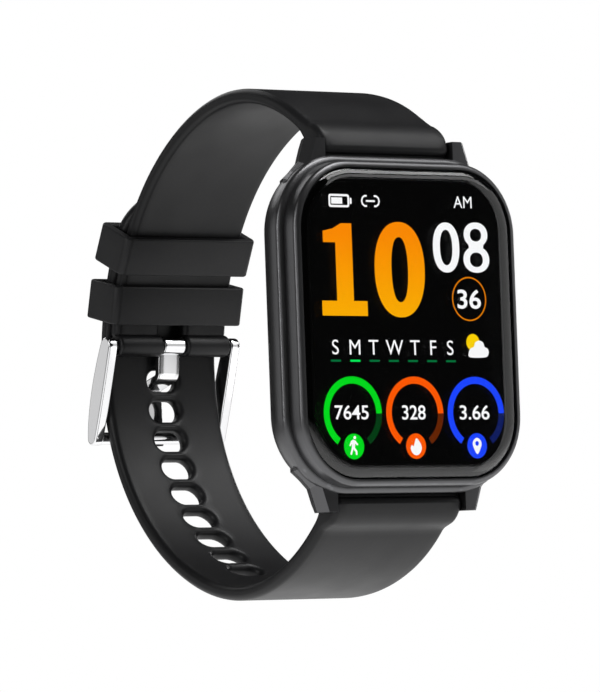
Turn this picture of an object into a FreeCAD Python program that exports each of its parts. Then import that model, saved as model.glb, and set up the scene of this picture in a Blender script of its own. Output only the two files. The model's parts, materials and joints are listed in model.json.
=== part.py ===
import FreeCAD, Part
import math
import os
import Sketcher
from FreeCAD import Placement, Rotation, Vector

# A smartwatch on a closed strap, in millimetres.
# X points to the wearer's right across the display, Z points up it, and Y goes into the wrist.
# The origin is the middle of the sensor window's outer face. A "level" is a height above that
# face towards the display, so a level of 3 is the plane Y = -3.

os.makedirs("parts", exist_ok=True)
doc = FreeCAD.newDocument("Smartwatch")

# Driving dimensions.
DIMENSIONS = {
    # case outline and levels
    "case_width": 39.7,
    "case_height": 45.1,
    "case_corner": 10.4,
    "case_back_level": 1.0,
    "case_front_level": 8.7,
    "case_belly_radius": 7.0,
    "case_shoulder_radius": 0.75,
    "cavity_wall": 3.25,
    "cavity_floor_level": 3.2,
    "back_opening_inset": 7.6,
    "back_opening_corner": 3.4,
    # lugs and spring bars
    "lug_gap": 22.0,
    "lug_reach": 2.35,
    "lug_tip_thickness": 2.65,
    "lug_waist_thickness": 3.75,
    "lug_root_thickness": 6.4,
    "lug_length": 3.2,
    "lug_flare": 2.3,
    "lug_front_level": 8.1,
    "lug_wide_level": 6.9,
    "lug_back_level": 3.4,
    "lug_back_taper": 2.2,
    "lug_chamfer": 1.1,
    "lug_tip_round": 1.3,
    "bar_level": 5.3,
    "bar_reach": 0.65,
    "bar_radius": 0.7,
    "bar_end_gap": 0.5,
    "bar_tip_radius": 0.4,
    "bar_tip_reach": 0.95,
    "bar_tip_length": 2.3,
    "running_clearance": 0.05,
    # bezel, glass and display
    "bezel_width": 37.9,
    "bezel_height": 43.35,
    "bezel_corner": 9.5,
    "bezel_front_level": 11.2,
    "bezel_round": 0.7,
    "bezel_spigot_depth": 0.8,
    "bezel_spigot_wall": 0.8,
    "glass_width": 35.95,
    "glass_height": 41.41,
    "glass_corner": 8.4,
    "glass_front_level": 11.5,
    "glass_thickness": 1.2,
    "glass_round": 0.8,
    "glass_seam": 0.1,
    "glass_ledge": 1.5,
    "seal_thickness": 0.15,
    "panel_thickness": 1.0,
    "adhesive_thickness": 0.15,
    "fit_clearance": 0.1,
    # inside of the case
    "inner_wall": 1.2,
    "inner_gap": 0.3,
    "board_level": 6.9,
    "board_thickness": 0.6,
    "board_screw_x": 12.9,
    "board_screw_z": 15.6,
    "boss_radius": 1.4,
    "screw_radius": 0.5,
    "screw_head_radius": 0.95,
    "screw_head_height": 0.4,
    "screw_length": 2.4,
    "battery_width": 21.0,
    "battery_height": 26.0,
    "battery_thickness": 3.0,
    "motor_radius": 4.0,
    "motor_height": 2.7,
    "motor_wall": 0.3,
    "motor_x": 11.0,
    "motor_z": -9.5,
    # back cover and sensor
    "cover_level": 0.5,
    "cover_top_level": 2.6,
    "window_radius": 8.6,
    "window_thickness": 1.1,
    "window_ledge": 1.1,
    "sensor_board_thickness": 0.6,
    "contact_radius": 0.9,
    "contact_pitch": 2.9,
    "contact_z": -12.1,
    "magnet_radius": 1.5,
    "magnet_pitch": 12.4,
    # side button
    "button_level": 4.6,
    "button_z": 5.0,
    "button_length": 8.4,
    "button_width": 2.6,
    "button_inset": 0.1,
    "button_thickness": 1.5,
    "button_travel": 0.3,
    "stem_radius": 0.6,
    # strap, as arcs in the YZ plane
    "strap_thickness": 2.0,
    "strap_root_clearance": 0.1,
    "strap_root_inset": 0.3,
    "strap_case_gap": 0.15,
    "strap_end_width": 19.2,
    "taper_start_y": -2.0,
    "taper_end_y": 24.0,
    "knuckle_radius": 1.7,
    "wrist_centre_y": 3.9,
    "wrist_centre_z": -2.95,
    "wrist_radius": 37.9,
    "overlap_gap": 0.2,
    "tail_angle": 38.5,
    "tail_round": 8.0,
    "hole_length": 5.0,
    "hole_width": 3.0,
    "hole_pitch": 4.4,
    "hole_angle": -1.9,
    # keepers
    "keeper_wall": 1.25,
    "keeper_side_wall": 1.5,
    "keeper_length": 5.4,
    "keeper_gap": 0.2,
    "keeper_edge": 0.3,
    "keeper_upper_angle": 24.9,
    "keeper_lower_angle": 13.9,
    # buckle
    "pin_angle": 5.2,
    "pin_radius_from_centre": 38.2,
    "roll_radius": 1.55,
    "notch_width": 4.2,
    "arm_thickness": 1.6,
    "arm_gap": 0.3,
    "arm_eye_radius": 1.1,
    "arm_middle_radius": 1.4,
    "arm_foot_radius": 0.95,
    "cross_bar_radius": 0.8,
    "tongue_width": 3.6,
    "tongue_thickness": 1.0,
    "tongue_inner_gap": 0.46,
    "tongue_outer_gap": 0.85,
}

sheet = doc.addObject("Spreadsheet::Sheet", "Sizes")
for row, (alias, amount) in enumerate(DIMENSIONS.items(), start=1):
    sheet.set("A%d" % row, alias)
    sheet.set("B%d" % row, str(amount))
    sheet.setAlias("B%d" % row, alias)
doc.recompute()


class Size:
    """A length with its number and the sheet formula that it stands for."""

    def __init__(self, value, text):
        self.value = value
        self.text = text

    def __add__(self, other):
        other = as_size(other)
        return Size(self.value + other.value, "(%s + %s)" % (self.text, other.text))

    def __sub__(self, other):
        other = as_size(other)
        return Size(self.value - other.value, "(%s - %s)" % (self.text, other.text))

    def __mul__(self, other):
        other = as_size(other)
        return Size(self.value * other.value, "(%s * %s)" % (self.text, other.text))

    def __truediv__(self, other):
        other = as_size(other)
        return Size(self.value / other.value, "(%s / %s)" % (self.text, other.text))

    def __neg__(self):
        return Size(-self.value, "(-1 * %s)" % self.text)

    __radd__ = __add__
    __rmul__ = __mul__


def as_size(amount):
    if isinstance(amount, Size):
        return amount
    return Size(float(amount), "(%s)" % amount)


class SheetSizes:
    """Gives each cell of the sheet by its alias."""

    def __getattr__(self, alias):
        return Size(float(sheet.get(alias)), "Sizes." + alias)


size = SheetSizes()
nodes = {}


def number(amount):
    return as_size(amount).value


def bind(item, name, amount):
    item.setExpression(name, as_size(amount).text)


def keep(name, item):
    """Registers an object as the piece with this name."""
    item.Label = name
    nodes[name] = item
    return item


# --- PartDesign helpers -------------------------------------------------------------------


def new_body(name):
    return keep(name, doc.addObject("PartDesign::Body", name))


def place(item, x=0.0, level=0.0, z=0.0):
    bind(item, "Placement.Base.x", x)
    bind(item, "Placement.Base.y", -as_size(level))
    bind(item, "Placement.Base.z", z)
    return item


def origin_plane(body, role):
    return next(part for part in body.Origin.OriginFeatures if part.Role == role)


def new_sketch(body, role, offset=0.0):
    sketch = body.newObject("Sketcher::SketchObject", body.Name + "_sketch")
    sketch.AttachmentSupport = [(origin_plane(body, role), "")]
    sketch.MapMode = "FlatFace"
    bind(sketch, "AttachmentOffset.Base.z", offset)
    return sketch


def constrain(sketch, kind, where, amount):
    amount = as_size(amount)
    index = sketch.addConstraint(Sketcher.Constraint(kind, *where, amount.value))
    sketch.setExpression("Constraints[%d]" % index, amount.text)


def add_rounded_rectangle(sketch, width, height, radius):
    """A centred rectangle with round corners, fully constrained."""
    half_w = number(width) / 2
    half_h = number(height) / 2
    r = number(radius)
    first = sketch.GeometryCount
    corners = [(half_w - r, r - half_h), (half_w - r, half_h - r), (r - half_w, half_h - r), (r - half_w, r - half_h)]
    for turn, (x, y) in enumerate(corners):
        start = math.radians(90 * turn - 90)
        before = corners[turn - 1]
        out = Vector(math.cos(start), math.sin(start), 0) * r
        sketch.addGeometry(Part.LineSegment(Vector(*before, 0) + out, Vector(x, y, 0) + out))
        circle = Part.Circle(Vector(x, y, 0), Vector(0, 0, 1), r)
        sketch.addGeometry(Part.ArcOfCircle(circle, start, start + math.pi / 2))
    for piece in range(8):
        following = first + (piece + 1) % 8
        sketch.addConstraint(Sketcher.Constraint("Tangent", first + piece, 2, following, 1))
    sketch.addConstraint(Sketcher.Constraint("Horizontal", first))
    sketch.addConstraint(Sketcher.Constraint("Vertical", first + 2))
    sketch.addConstraint(Sketcher.Constraint("Horizontal", first + 4))
    sketch.addConstraint(Sketcher.Constraint("Vertical", first + 6))
    for arc in (3, 5, 7):
        sketch.addConstraint(Sketcher.Constraint("Equal", first + 1, first + arc))
    constrain(sketch, "DistanceX", (first + 6, 1, first + 2, 1), width)
    constrain(sketch, "DistanceY", (first, 1, first + 4, 1), height)
    constrain(sketch, "DistanceX", (first + 6, 1, -1, 1), as_size(width) / 2)
    constrain(sketch, "DistanceY", (first, 1, -1, 1), as_size(height) / 2)
    constrain(sketch, "Radius", (first + 1,), radius)


def add_circle(sketch, radius):
    index = sketch.addGeometry(Part.Circle(Vector(0, 0, 0), Vector(0, 0, 1), number(radius)))
    sketch.addConstraint(Sketcher.Constraint("Coincident", index, 3, -1, 1))
    constrain(sketch, "Radius", (index,), radius)


def add_polygon(sketch, points):
    """A closed outline whose corners are each held by their two distances from the origin."""
    first = sketch.GeometryCount
    count = len(points)
    for index, point in enumerate(points):
        following = points[(index + 1) % count]
        start = Vector(number(point[0]), number(point[1]), 0)
        end = Vector(number(following[0]), number(following[1]), 0)
        sketch.addGeometry(Part.LineSegment(start, end))
    for index in range(count):
        following = first + (index + 1) % count
        sketch.addConstraint(Sketcher.Constraint("Coincident", first + index, 2, following, 1))
    for index, point in enumerate(points):
        for kind, amount in zip(("DistanceX", "DistanceY"), point):
            amount = as_size(amount)
            if amount.value < 0:
                constrain(sketch, kind, (first + index, 1, -1, 1), -amount)
            else:
                constrain(sketch, kind, (-1, 1, first + index, 1), amount)


def pad(body, sketch, length):
    feature = body.newObject("PartDesign::Pad", body.Name + "_pad")
    feature.Profile = sketch
    bind(feature, "Length", length)
    doc.recompute()
    return feature


def pocket(body, sketch, depth, towards_front=False):
    """Cuts from the sketch towards the back, or towards the front when asked."""
    before = body.Shape.Volume
    feature = body.newObject("PartDesign::Pocket", body.Name + "_pocket")
    feature.Profile = sketch
    feature.Reversed = towards_front
    bind(feature, "Length", depth)
    doc.recompute()
    if body.Shape.Volume > before - 1e-6:
        raise ValueError("pocket cuts nothing in " + body.Name)
    return feature


def edges_where(shape, test):
    return ["Edge%d" % (index + 1) for index, edge in enumerate(shape.Edges) if test(edge)]


def at_level(level):
    """Picks the edges that lie wholly in the plane of one level."""
    height = -number(level)
    return lambda edge: abs(edge.BoundBox.YMin - height) < 1e-4 and abs(edge.BoundBox.YMax - height) < 1e-4


def dress(body, kind, amount, test):
    """Rounds (Fillet) or bevels (Chamfer) the chosen edges of the body's last feature."""
    base = body.Tip
    feature = body.newObject("PartDesign::" + kind, body.Name + "_" + kind.lower())
    feature.Base = (base, edges_where(base.Shape, test))
    bind(feature, "Radius" if kind == "Fillet" else "Size", amount)
    doc.recompute()
    return feature


def plate(name, width, height, corner, level, thickness):
    """A flat rounded plate that starts at a level and grows towards the display."""
    body = new_body(name)
    sketch = new_sketch(body, "XZ_Plane", level)
    add_rounded_rectangle(sketch, width, height, corner)
    pad(body, sketch, thickness)
    return body


def cut_window(body, width, height, corner, level, depth, towards_front=False):
    sketch = new_sketch(body, "XZ_Plane", level)
    add_rounded_rectangle(sketch, width, height, corner)
    pocket(body, sketch, depth, towards_front)


# --- Part helpers ---------------------------------------------------------------------------


def box(name, x, level, z, width, thickness, height):
    """A block centred on x and z that starts at a level and grows towards the display."""
    item = doc.addObject("Part::Box", name)
    bind(item, "Length", width)
    bind(item, "Width", thickness)
    bind(item, "Height", height)
    place(item, as_size(x) - as_size(width) / 2, as_size(level) + thickness, as_size(z) - as_size(height) / 2)
    return item


def disc(name, x, level, z, radius, thickness):
    """A round block whose axis is along Y, growing from a level towards the display."""
    item = doc.addObject("Part::Cylinder", name)
    bind(item, "Radius", radius)
    bind(item, "Height", thickness)
    item.Placement = Placement(Vector(0, 0, 0), Rotation(Vector(1, 0, 0), 90))
    place(item, x, level, z)
    return item


def rod(name, x, level, z, radius, length):
    """A round bar along X that starts at x."""
    item = doc.addObject("Part::Cylinder", name)
    bind(item, "Radius", radius)
    bind(item, "Height", length)
    item.Placement = Placement(Vector(0, 0, 0), Rotation(Vector(0, 1, 0), 90))
    place(item, x, level, z)
    return item


def subtract(name, base, *tools):
    for index, tool in enumerate(tools):
        item = doc.addObject("Part::Cut", "%s_cut%d" % (name, index))
        item.Base = base
        item.Tool = tool
        base = item
    return base


def join(name, parts):
    item = doc.addObject("Part::MultiFuse", name + "_joined")
    item.Shapes = parts
    return item


def group(name, parts):
    """Separate like solids that share one name."""
    item = doc.addObject("Part::Compound", name)
    item.Links = parts
    return keep(name, item)


def mirrored_pair(maker, distance):
    """Calls the maker for the left and the right place."""
    return [maker("left", -as_size(distance)), maker("right", as_size(distance))]


# --- Case ------------------------------------------------------------------------------------

cavity_width = size.case_width - 2 * size.cavity_wall
cavity_height = size.case_height - 2 * size.cavity_wall
cavity_corner = size.case_corner - size.cavity_wall
button_outer_x = size.case_width / 2 - size.button_inset
lug_tip = size.case_height / 2 + size.lug_reach
bar_distance = size.case_height / 2 + size.bar_reach
back_opening_width = size.case_width - 2 * size.back_opening_inset
back_opening_height = size.case_height - 2 * size.back_opening_inset


def case_shell(body):
    sketch = new_sketch(body, "XZ_Plane", size.case_back_level)
    add_rounded_rectangle(sketch, size.case_width, size.case_height, size.case_corner)
    pad(body, sketch, size.case_front_level - size.case_back_level)
    dress(body, "Fillet", size.case_belly_radius, at_level(size.case_back_level))
    dress(body, "Fillet", size.case_shoulder_radius, at_level(size.case_front_level))


def lug_outline(side, end, taper):
    """One lug seen from the front: straight inside, a slim tip and a flare into the case's corner."""
    inner = size.lug_gap / 2
    root_z = lug_tip - size.lug_length - size.lug_flare
    anchor_z = root_z - size.lug_length
    waist = inner + size.lug_waist_thickness - taper
    root = inner + size.lug_root_thickness - taper
    points = [(inner, anchor_z), (inner, lug_tip), (inner + size.lug_tip_thickness - taper, lug_tip),
              (waist, lug_tip - size.lug_length), ((waist + root) / 2, root_z + size.lug_flare * 0.45),
              (root, root_z), (root, anchor_z)]
    return [(x * side, z * end) for x, z in points]


def case_lug(side, end):
    """A lug that is widest just behind its front, bevelled in front and slanted in towards the back."""
    body = doc.addObject("PartDesign::Body", "lug")
    levels = ((size.lug_back_level, size.lug_back_taper), (size.lug_wide_level, as_size(0.0)))
    sections = []
    for level, taper in levels:
        sections.append(new_sketch(body, "XZ_Plane", level))
        add_polygon(sections[-1], lug_outline(side, end, taper))
    flank = body.newObject("PartDesign::AdditiveLoft", "lug_flank")
    flank.Profile = sections[0]
    flank.Sections = [sections[1]]
    flank.Ruled = True
    doc.recompute()
    front = new_sketch(body, "XZ_Plane", size.lug_wide_level)
    add_polygon(front, lug_outline(side, end, as_size(0.0)))
    pad(body, front, size.lug_front_level - size.lug_wide_level)
    in_front = at_level(size.lug_front_level)
    in_back = at_level(size.lug_back_level)
    inner = size.lug_gap.value / 2
    anchor = (lug_tip - 2 * size.lug_length - size.lug_flare).value + 0.1

    def outer_front_edge(edge):
        widths = [abs(vertex.X) for vertex in edge.Vertexes]
        reach = min(abs(vertex.Z) for vertex in edge.Vertexes)
        return in_front(edge) and min(widths) > inner + 0.1 and max(abs(vertex.Z) for vertex in edge.Vertexes) > anchor

    def back_tip_edge(edge):
        reach = min(abs(vertex.Z) for vertex in edge.Vertexes)
        return in_back(edge) and reach > lug_tip.value - 1e-4

    dress(body, "Chamfer", size.lug_chamfer, outer_front_edge)
    dress(body, "Fillet", size.lug_tip_round, back_tip_edge)
    return body


def case_frame():
    """The hollow middle of the watch with four lugs, strap grooves and the button's pocket."""
    shell = doc.addObject("PartDesign::Body", "case_shell")
    case_shell(shell)
    lugs = [case_lug(side, end) for side in (-1, 1) for end in (-1, 1)]
    tools = [opening("cavity", cavity_width, cavity_height, cavity_corner, size.cavity_floor_level),
             opening("back_opening", back_opening_width, back_opening_height, size.back_opening_corner,
                     size.case_back_level - 1)]
    groove = size.knuckle_radius + 0.25
    hole_reach = size.lug_gap / 2 + size.bar_tip_reach + 0.25
    for name, end in (("upper", 1), ("lower", -1)):
        z = bar_distance * end
        tools.append(rod(name + "_groove", -(size.lug_gap / 2), size.bar_level, z, groove, size.lug_gap))
        hole = size.bar_tip_radius + size.running_clearance
        tools.append(rod(name + "_bar_hole", -hole_reach, size.bar_level, z, hole, 2 * hole_reach))
    pocket_floor = button_outer_x - size.button_thickness - size.button_travel - 0.1
    tools.append(pill("button_pocket", pocket_floor, size.button_width + 2 * size.fit_clearance,
                      size.button_length + 2 * size.fit_clearance, 4.0))
    wall_inside = cavity_width / 2 - 1.0
    stem_hole = size.stem_radius + size.running_clearance
    tools.append(rod("stem_hole", wall_inside, size.button_level, size.button_z, stem_hole, 4.0))
    tools.append(rod("oring_seat", wall_inside, size.button_level, size.button_z, oring_radius, 1.0 + oring_width))
    keep("case_frame", subtract("case_frame", join("case_frame", [shell] + lugs), *tools))


def opening(name, width, height, corner, level):
    """A rounded block that clears everything in front of a level."""
    body = doc.addObject("PartDesign::Body", name)
    sketch = new_sketch(body, "XZ_Plane", level)
    add_rounded_rectangle(sketch, width, height, corner)
    pad(body, sketch, size.glass_front_level)
    return body


def pill(name, x, width, length, thickness):
    """A long round-ended block along Z that grows outwards along X, at the button's place."""
    body = doc.addObject("PartDesign::Body", name)
    sketch = new_sketch(body, "YZ_Plane")
    add_rounded_rectangle(sketch, width, length, as_size(width) * 0.49)
    pad(body, sketch, thickness)
    place(body, x, size.button_level, size.button_z)
    return body


oring_radius = size.stem_radius + 0.42
oring_width = as_size(0.55)


def front_bezel():
    """The ring round the glass. It has a ledge under the glass and a spigot in the case."""
    body = new_body("front_bezel")
    sketch = new_sketch(body, "XZ_Plane", size.case_front_level)
    add_rounded_rectangle(sketch, size.bezel_width, size.bezel_height, size.bezel_corner)
    pad(body, sketch, size.bezel_front_level - size.case_front_level)
    dress(body, "Fillet", size.bezel_round, at_level(size.bezel_front_level))
    spigot = new_sketch(body, "XZ_Plane", size.case_front_level - size.bezel_spigot_depth)
    add_rounded_rectangle(spigot, spigot_width, spigot_height, cavity_corner - size.fit_clearance)
    pad(body, spigot, size.bezel_spigot_depth + 0.1)
    cut_window(body, spigot_width - 2 * size.bezel_spigot_wall, spigot_height - 2 * size.bezel_spigot_wall,
               cavity_corner - size.fit_clearance - size.bezel_spigot_wall,
               size.bezel_front_level, size.bezel_front_level - size.case_front_level + size.bezel_spigot_depth)
    cut_window(body, panel_opening_width, panel_opening_height, panel_corner + size.fit_clearance,
               size.bezel_front_level, size.bezel_front_level - panel_seat_level)
    cut_window(body, size.glass_width + 2 * size.glass_seam, size.glass_height + 2 * size.glass_seam,
               size.glass_corner + size.glass_seam, size.bezel_front_level,
               size.bezel_front_level - ledge_level)


spigot_width = cavity_width - 2 * size.fit_clearance
spigot_height = cavity_height - 2 * size.fit_clearance
glass_back_level = size.glass_front_level - size.glass_thickness
ledge_level = glass_back_level - size.seal_thickness
panel_opening_width = size.glass_width - 2 * size.glass_ledge
panel_opening_height = size.glass_height - 2 * size.glass_ledge
panel_corner = size.glass_corner - size.glass_ledge - size.fit_clearance
panel_width = panel_opening_width - 2 * size.fit_clearance
panel_height = panel_opening_height - 2 * size.fit_clearance
adhesive_level = glass_back_level - size.adhesive_thickness
panel_level = adhesive_level - size.panel_thickness
panel_seat_level = panel_level - 0.05


def glass_and_display():
    glass = plate("cover_glass", size.glass_width, size.glass_height, size.glass_corner, glass_back_level,
                  size.glass_thickness)
    dress(glass, "Fillet", size.glass_round, at_level(size.glass_front_level))
    seal = plate("glass_seal", size.glass_width - 0.2, size.glass_height - 0.2, size.glass_corner - 0.1,
                 ledge_level, size.seal_thickness)
    cut_window(seal, panel_opening_width + 0.2, panel_opening_height + 0.2, panel_corner + 0.2,
               glass_back_level, size.seal_thickness)
    plate("optical_adhesive", panel_width - 0.4, panel_height - 0.4, panel_corner - 0.2, adhesive_level,
          size.adhesive_thickness)
    plate("display_panel", panel_width, panel_height, panel_corner, panel_level, size.panel_thickness)
    board_top = size.board_level + size.board_thickness
    keep("display_flex", box("display_flex", 0, board_top, -panel_height / 2 + 3.4, 8.0,
                             panel_level - board_top, 0.25))


# --- Inside of the case ----------------------------------------------------------------------


def corner_places():
    """The four screw places of the board, named by corner."""
    for end_name, end in (("top", 1), ("bottom", -1)):
        for side_name, side in (("right", 1), ("left", -1)):
            yield end_name + "_" + side_name, size.board_screw_x * side, size.board_screw_z * end


def inner_frame():
    """A thin frame that holds the battery, with four screw bosses and a gap for the button."""
    level = size.cavity_floor_level + 0.1
    depth = size.board_level - level
    width = cavity_width - 2 * size.inner_gap
    height = cavity_height - 2 * size.inner_gap
    corner = cavity_corner - size.inner_gap
    ring = doc.addObject("PartDesign::Body", "inner_ring")
    sketch = new_sketch(ring, "XZ_Plane", level)
    add_rounded_rectangle(sketch, width, height, corner)
    pad(ring, sketch, depth)
    cut_window(ring, width - 2 * size.inner_wall, height - 2 * size.inner_wall, corner - size.inner_wall,
               size.board_level, depth)
    bosses = [disc("boss_" + name, x, level, z, size.boss_radius, depth) for name, x, z in corner_places()]
    holes = [disc("boss_hole_" + name, x, size.board_level - size.screw_length + size.board_thickness - 0.2, z,
                  size.screw_radius, size.screw_length) for name, x, z in corner_places()]
    gap = box("button_gap", width / 2, level - 0.1, size.button_z, 4.0, depth + 0.2, 5.6)
    keep("inner_frame", subtract("inner_frame", join("inner_frame", [ring] + bosses), gap, *holes))


def board_screws():
    screws = []
    top = size.board_level + size.board_thickness
    for name, x, z in corner_places():
        head = disc("head_" + name, x, top, z, size.screw_head_radius, size.screw_head_height)
        shank = disc("shank_" + name, x, top - size.screw_length + 0.1, z, size.screw_radius, size.screw_length)
        slot = box("drive_" + name, x, top + size.screw_head_height / 2, z, 1.3, 0.4, 0.25)
        screws.append(subtract("screw_" + name, join("screw_" + name, [head, shank]), slot))
    group("board_screws", screws)


def main_board():
    width = cavity_width - 2 * size.inner_gap - size.inner_wall
    height = cavity_height - 2 * size.inner_gap - size.inner_wall
    board = doc.addObject("PartDesign::Body", "board_blank")
    sketch = new_sketch(board, "XZ_Plane", size.board_level)
    add_rounded_rectangle(sketch, width, height, cavity_corner - 1.0)
    pad(board, sketch, size.board_thickness)
    holes = [disc("board_hole_" + name, x, size.board_level - 0.5, z, size.screw_radius, size.board_thickness + 1)
             for name, x, z in corner_places()]
    keep("main_board", subtract("main_board", board, *holes))
    top = size.board_level + size.board_thickness
    # each chip: middle x and z, then its width, height and thickness
    chips = [(-6.0, 8.0, 8.0, 8.0, 0.9), (4.5, 9.5, 6.0, 5.0, 0.8), (5.5, 0.5, 7.0, 7.0, 0.9),
             (-6.5, -3.0, 5.0, 6.0, 0.7), (-1.0, -9.0, 3.2, 2.5, 0.6), (9.0, -9.0, 3.0, 3.0, 0.6)]
    group("board_chips", [box("chip_%d" % index, x, top, z, wide, thick, tall)
                          for index, (x, z, wide, tall, thick) in enumerate(chips)])
    can = box("shield_can", 11.0, size.board_level - 1.2, -1.8, 8.0, 1.2, 5.6)
    inside = box("shield_inside", 11.0, size.board_level - 1.0, -1.8, 7.6, 1.2, 5.2)
    keep("processor_shield", subtract("processor_shield", can, inside))


def battery_and_motor():
    left = -(cavity_width / 2) + size.inner_gap + size.inner_wall + 0.3
    level = size.cavity_floor_level + 0.3
    body = plate("battery", size.battery_width, size.battery_height, 1.2, 0, size.battery_thickness)
    dress(body, "Fillet", 0.5, at_level(size.battery_thickness))
    place(body, left + size.battery_width / 2, level, 0)
    keep("battery_pad", box("battery_pad", left + size.battery_width / 2, size.cavity_floor_level, 0,
                            size.battery_width - 3, 0.28, size.battery_height - 3))
    x = size.motor_x
    z = size.motor_z
    outer = disc("can_outer", x, level, z, size.motor_radius, size.motor_height)
    inner = disc("can_inner", x, level + size.motor_wall, z, size.motor_radius - size.motor_wall,
                 size.motor_height - 2 * size.motor_wall)
    keep("motor_can", subtract("motor_can", outer, inner))
    axle_length = size.motor_height - 2 * size.motor_wall
    keep("motor_axle", disc("motor_axle", x, level + size.motor_wall, z, 0.35, axle_length))
    rotor_level = level + size.motor_wall + 0.2
    rotor_height = axle_length - 0.4
    hub = disc("rotor_hub", x, rotor_level, z, 1.1, rotor_height)
    weight = disc("rotor_disc", x, rotor_level, z, size.motor_radius - size.motor_wall - 0.25, rotor_height)
    away = box("rotor_half", x, rotor_level - 0.1, as_size(z) + 5.4, 10.0, rotor_height + 0.2, 10.0)
    bore = disc("rotor_bore", x, rotor_level - 0.1, z, as_size(0.35) + size.running_clearance, rotor_height + 0.2)
    half = subtract("rotor_weight", weight, away)
    keep("motor_rotor", subtract("motor_rotor", join("motor_rotor", [half, hub]), bore))


# --- Side button -----------------------------------------------------------------------------


def side_button():
    """A pill-shaped key whose stem reaches through the case wall to the switch."""
    inner_x = button_outer_x - size.button_thickness
    cap = pill("button_cap", inner_x, size.button_width, size.button_length, size.button_thickness)
    cap_body = cap
    outer = number(size.button_thickness)
    base = cap_body.Tip
    rounding = cap_body.newObject("PartDesign::Fillet", "button_cap_fillet")
    rounding.Base = (base, edges_where(base.Shape, lambda edge: edge.BoundBox.XMin > outer - 1e-4))
    rounding.Radius = 0.45
    doc.recompute()
    stem = rod("button_stem", stem_end, size.button_level, size.button_z, size.stem_radius,
               inner_x - stem_end + 0.3)
    keep("side_button", join("side_button", [cap, stem]))
    ring = rod("clip_outer", clip_x, size.button_level, size.button_z, 1.15, 0.3)
    hole = rod("clip_hole", clip_x - 0.1, size.button_level, size.button_z, size.stem_radius, 0.5)
    keep("button_clip", subtract("button_clip", ring, hole))
    seal = rod("oring_outer", cavity_width / 2, size.button_level, size.button_z, oring_radius, oring_width - 0.05)
    bore = rod("oring_bore", cavity_width / 2 - 0.1, size.button_level, size.button_z,
               size.stem_radius + size.running_clearance, oring_width + 0.2)
    keep("button_oring", subtract("button_oring", seal, bore))
    housing = box("switch_housing", stem_end - 0.35 - 0.3 - 1.0, size.button_level - 0.9, size.button_z,
                  2.0, size.board_level - size.button_level + 0.9, 4.4)
    plunger = rod("switch_plunger", stem_end - 0.35 - 0.5, size.button_level, size.button_z, 0.7, 0.5)
    keep("side_switch", join("side_switch", [housing, plunger]))


clip_x = cavity_width / 2 - 0.65
stem_end = clip_x - 0.15


# --- Back cover and sensor --------------------------------------------------------------------

cover_width = back_opening_width - 2 * size.fit_clearance
cover_height = back_opening_height - 2 * size.fit_clearance
cover_corner = size.back_opening_corner - size.fit_clearance
gasket_level = size.cover_level + 1.0
gasket_height = as_size(0.6)
gasket_depth = as_size(0.6)


def back_cover():
    """The plug that closes the back, with seats for the window, contacts and magnets."""
    thickness = size.cover_top_level - size.cover_level
    body = doc.addObject("PartDesign::Body", "cover_blank")
    sketch = new_sketch(body, "XZ_Plane", size.cover_level)
    add_rounded_rectangle(sketch, cover_width, cover_height, cover_corner)
    pad(body, sketch, thickness)
    dress(body, "Fillet", 0.35, at_level(size.cover_level))
    groove = doc.addObject("PartDesign::Body", "gasket_groove")
    sketch = new_sketch(groove, "XZ_Plane", gasket_level)
    add_rounded_rectangle(sketch, cover_width + 1, cover_height + 1, cover_corner + 0.5)
    pad(groove, sketch, gasket_height)
    cut_window(groove, cover_width - 2 * gasket_depth, cover_height - 2 * gasket_depth,
               cover_corner - gasket_depth, gasket_level, gasket_height, towards_front=True)
    seat = disc("window_seat", 0, size.cover_level - 1, 0, size.window_radius + size.running_clearance,
                size.window_thickness - size.cover_level + 1)
    opening = disc("window_opening", 0, 0, 0, size.window_radius - size.window_ledge, 5.0)
    contacts = mirrored_pair(lambda side, x: disc("contact_hole_" + side, x, 0, size.contact_z,
                                                  size.contact_radius, 5.0), size.contact_pitch / 2)
    magnets = mirrored_pair(lambda side, x: disc("magnet_hole_" + side, x, size.cover_level + 0.6, size.contact_z,
                                                 size.magnet_radius, 5.0), size.magnet_pitch / 2)
    keep("back_cover", subtract("back_cover", body, groove, seat, opening, *contacts, *magnets))
    gasket = plate("back_cover_gasket", back_opening_width, back_opening_height, size.back_opening_corner,
                   gasket_level, gasket_height)
    cut_window(gasket, cover_width - 2 * gasket_depth, cover_height - 2 * gasket_depth,
               cover_corner - gasket_depth, gasket_level, gasket_height, towards_front=True)


def sensor_parts():
    window = new_body("sensor_window")
    sketch = new_sketch(window, "XZ_Plane", 0)
    add_circle(sketch, size.window_radius)
    pad(window, sketch, size.window_thickness)
    dress(window, "Chamfer", 0.4, at_level(0))
    board_level = size.cover_top_level - size.sensor_board_thickness
    board_radius = size.window_radius - size.window_ledge - 0.2
    keep("sensor_board", disc("sensor_board", 0, board_level, 0, board_radius, size.sensor_board_thickness))
    emitters = []
    for name, x, z in (("left", -4.6, 0), ("right", 4.6, 0), ("top", 0, 4.6), ("bottom", 0, -4.6)):
        emitters.append(box("emitter_" + name, x, board_level - 0.5, z, 1.6, 0.5, 1.6))
    group("sensor_emitters", emitters)
    detectors = mirrored_pair(lambda side, x: box("detector_" + side, x, board_level - 0.5, 0, 1.7, 0.5, 2.6), 1.4)
    group("sensor_detectors", detectors)
    contact_length = size.cover_top_level - size.cover_level + 0.4
    group("charging_contacts", mirrored_pair(
        lambda side, x: disc("contact_" + side, x, size.cover_level - 0.1, size.contact_z, size.contact_radius,
                             contact_length), size.contact_pitch / 2))
    group("charging_magnets", mirrored_pair(
        lambda side, x: disc("magnet_" + side, x, size.cover_level + 0.6, size.contact_z, size.magnet_radius, 1.4),
        size.magnet_pitch / 2))


# --- Spring bars -----------------------------------------------------------------------------


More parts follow.
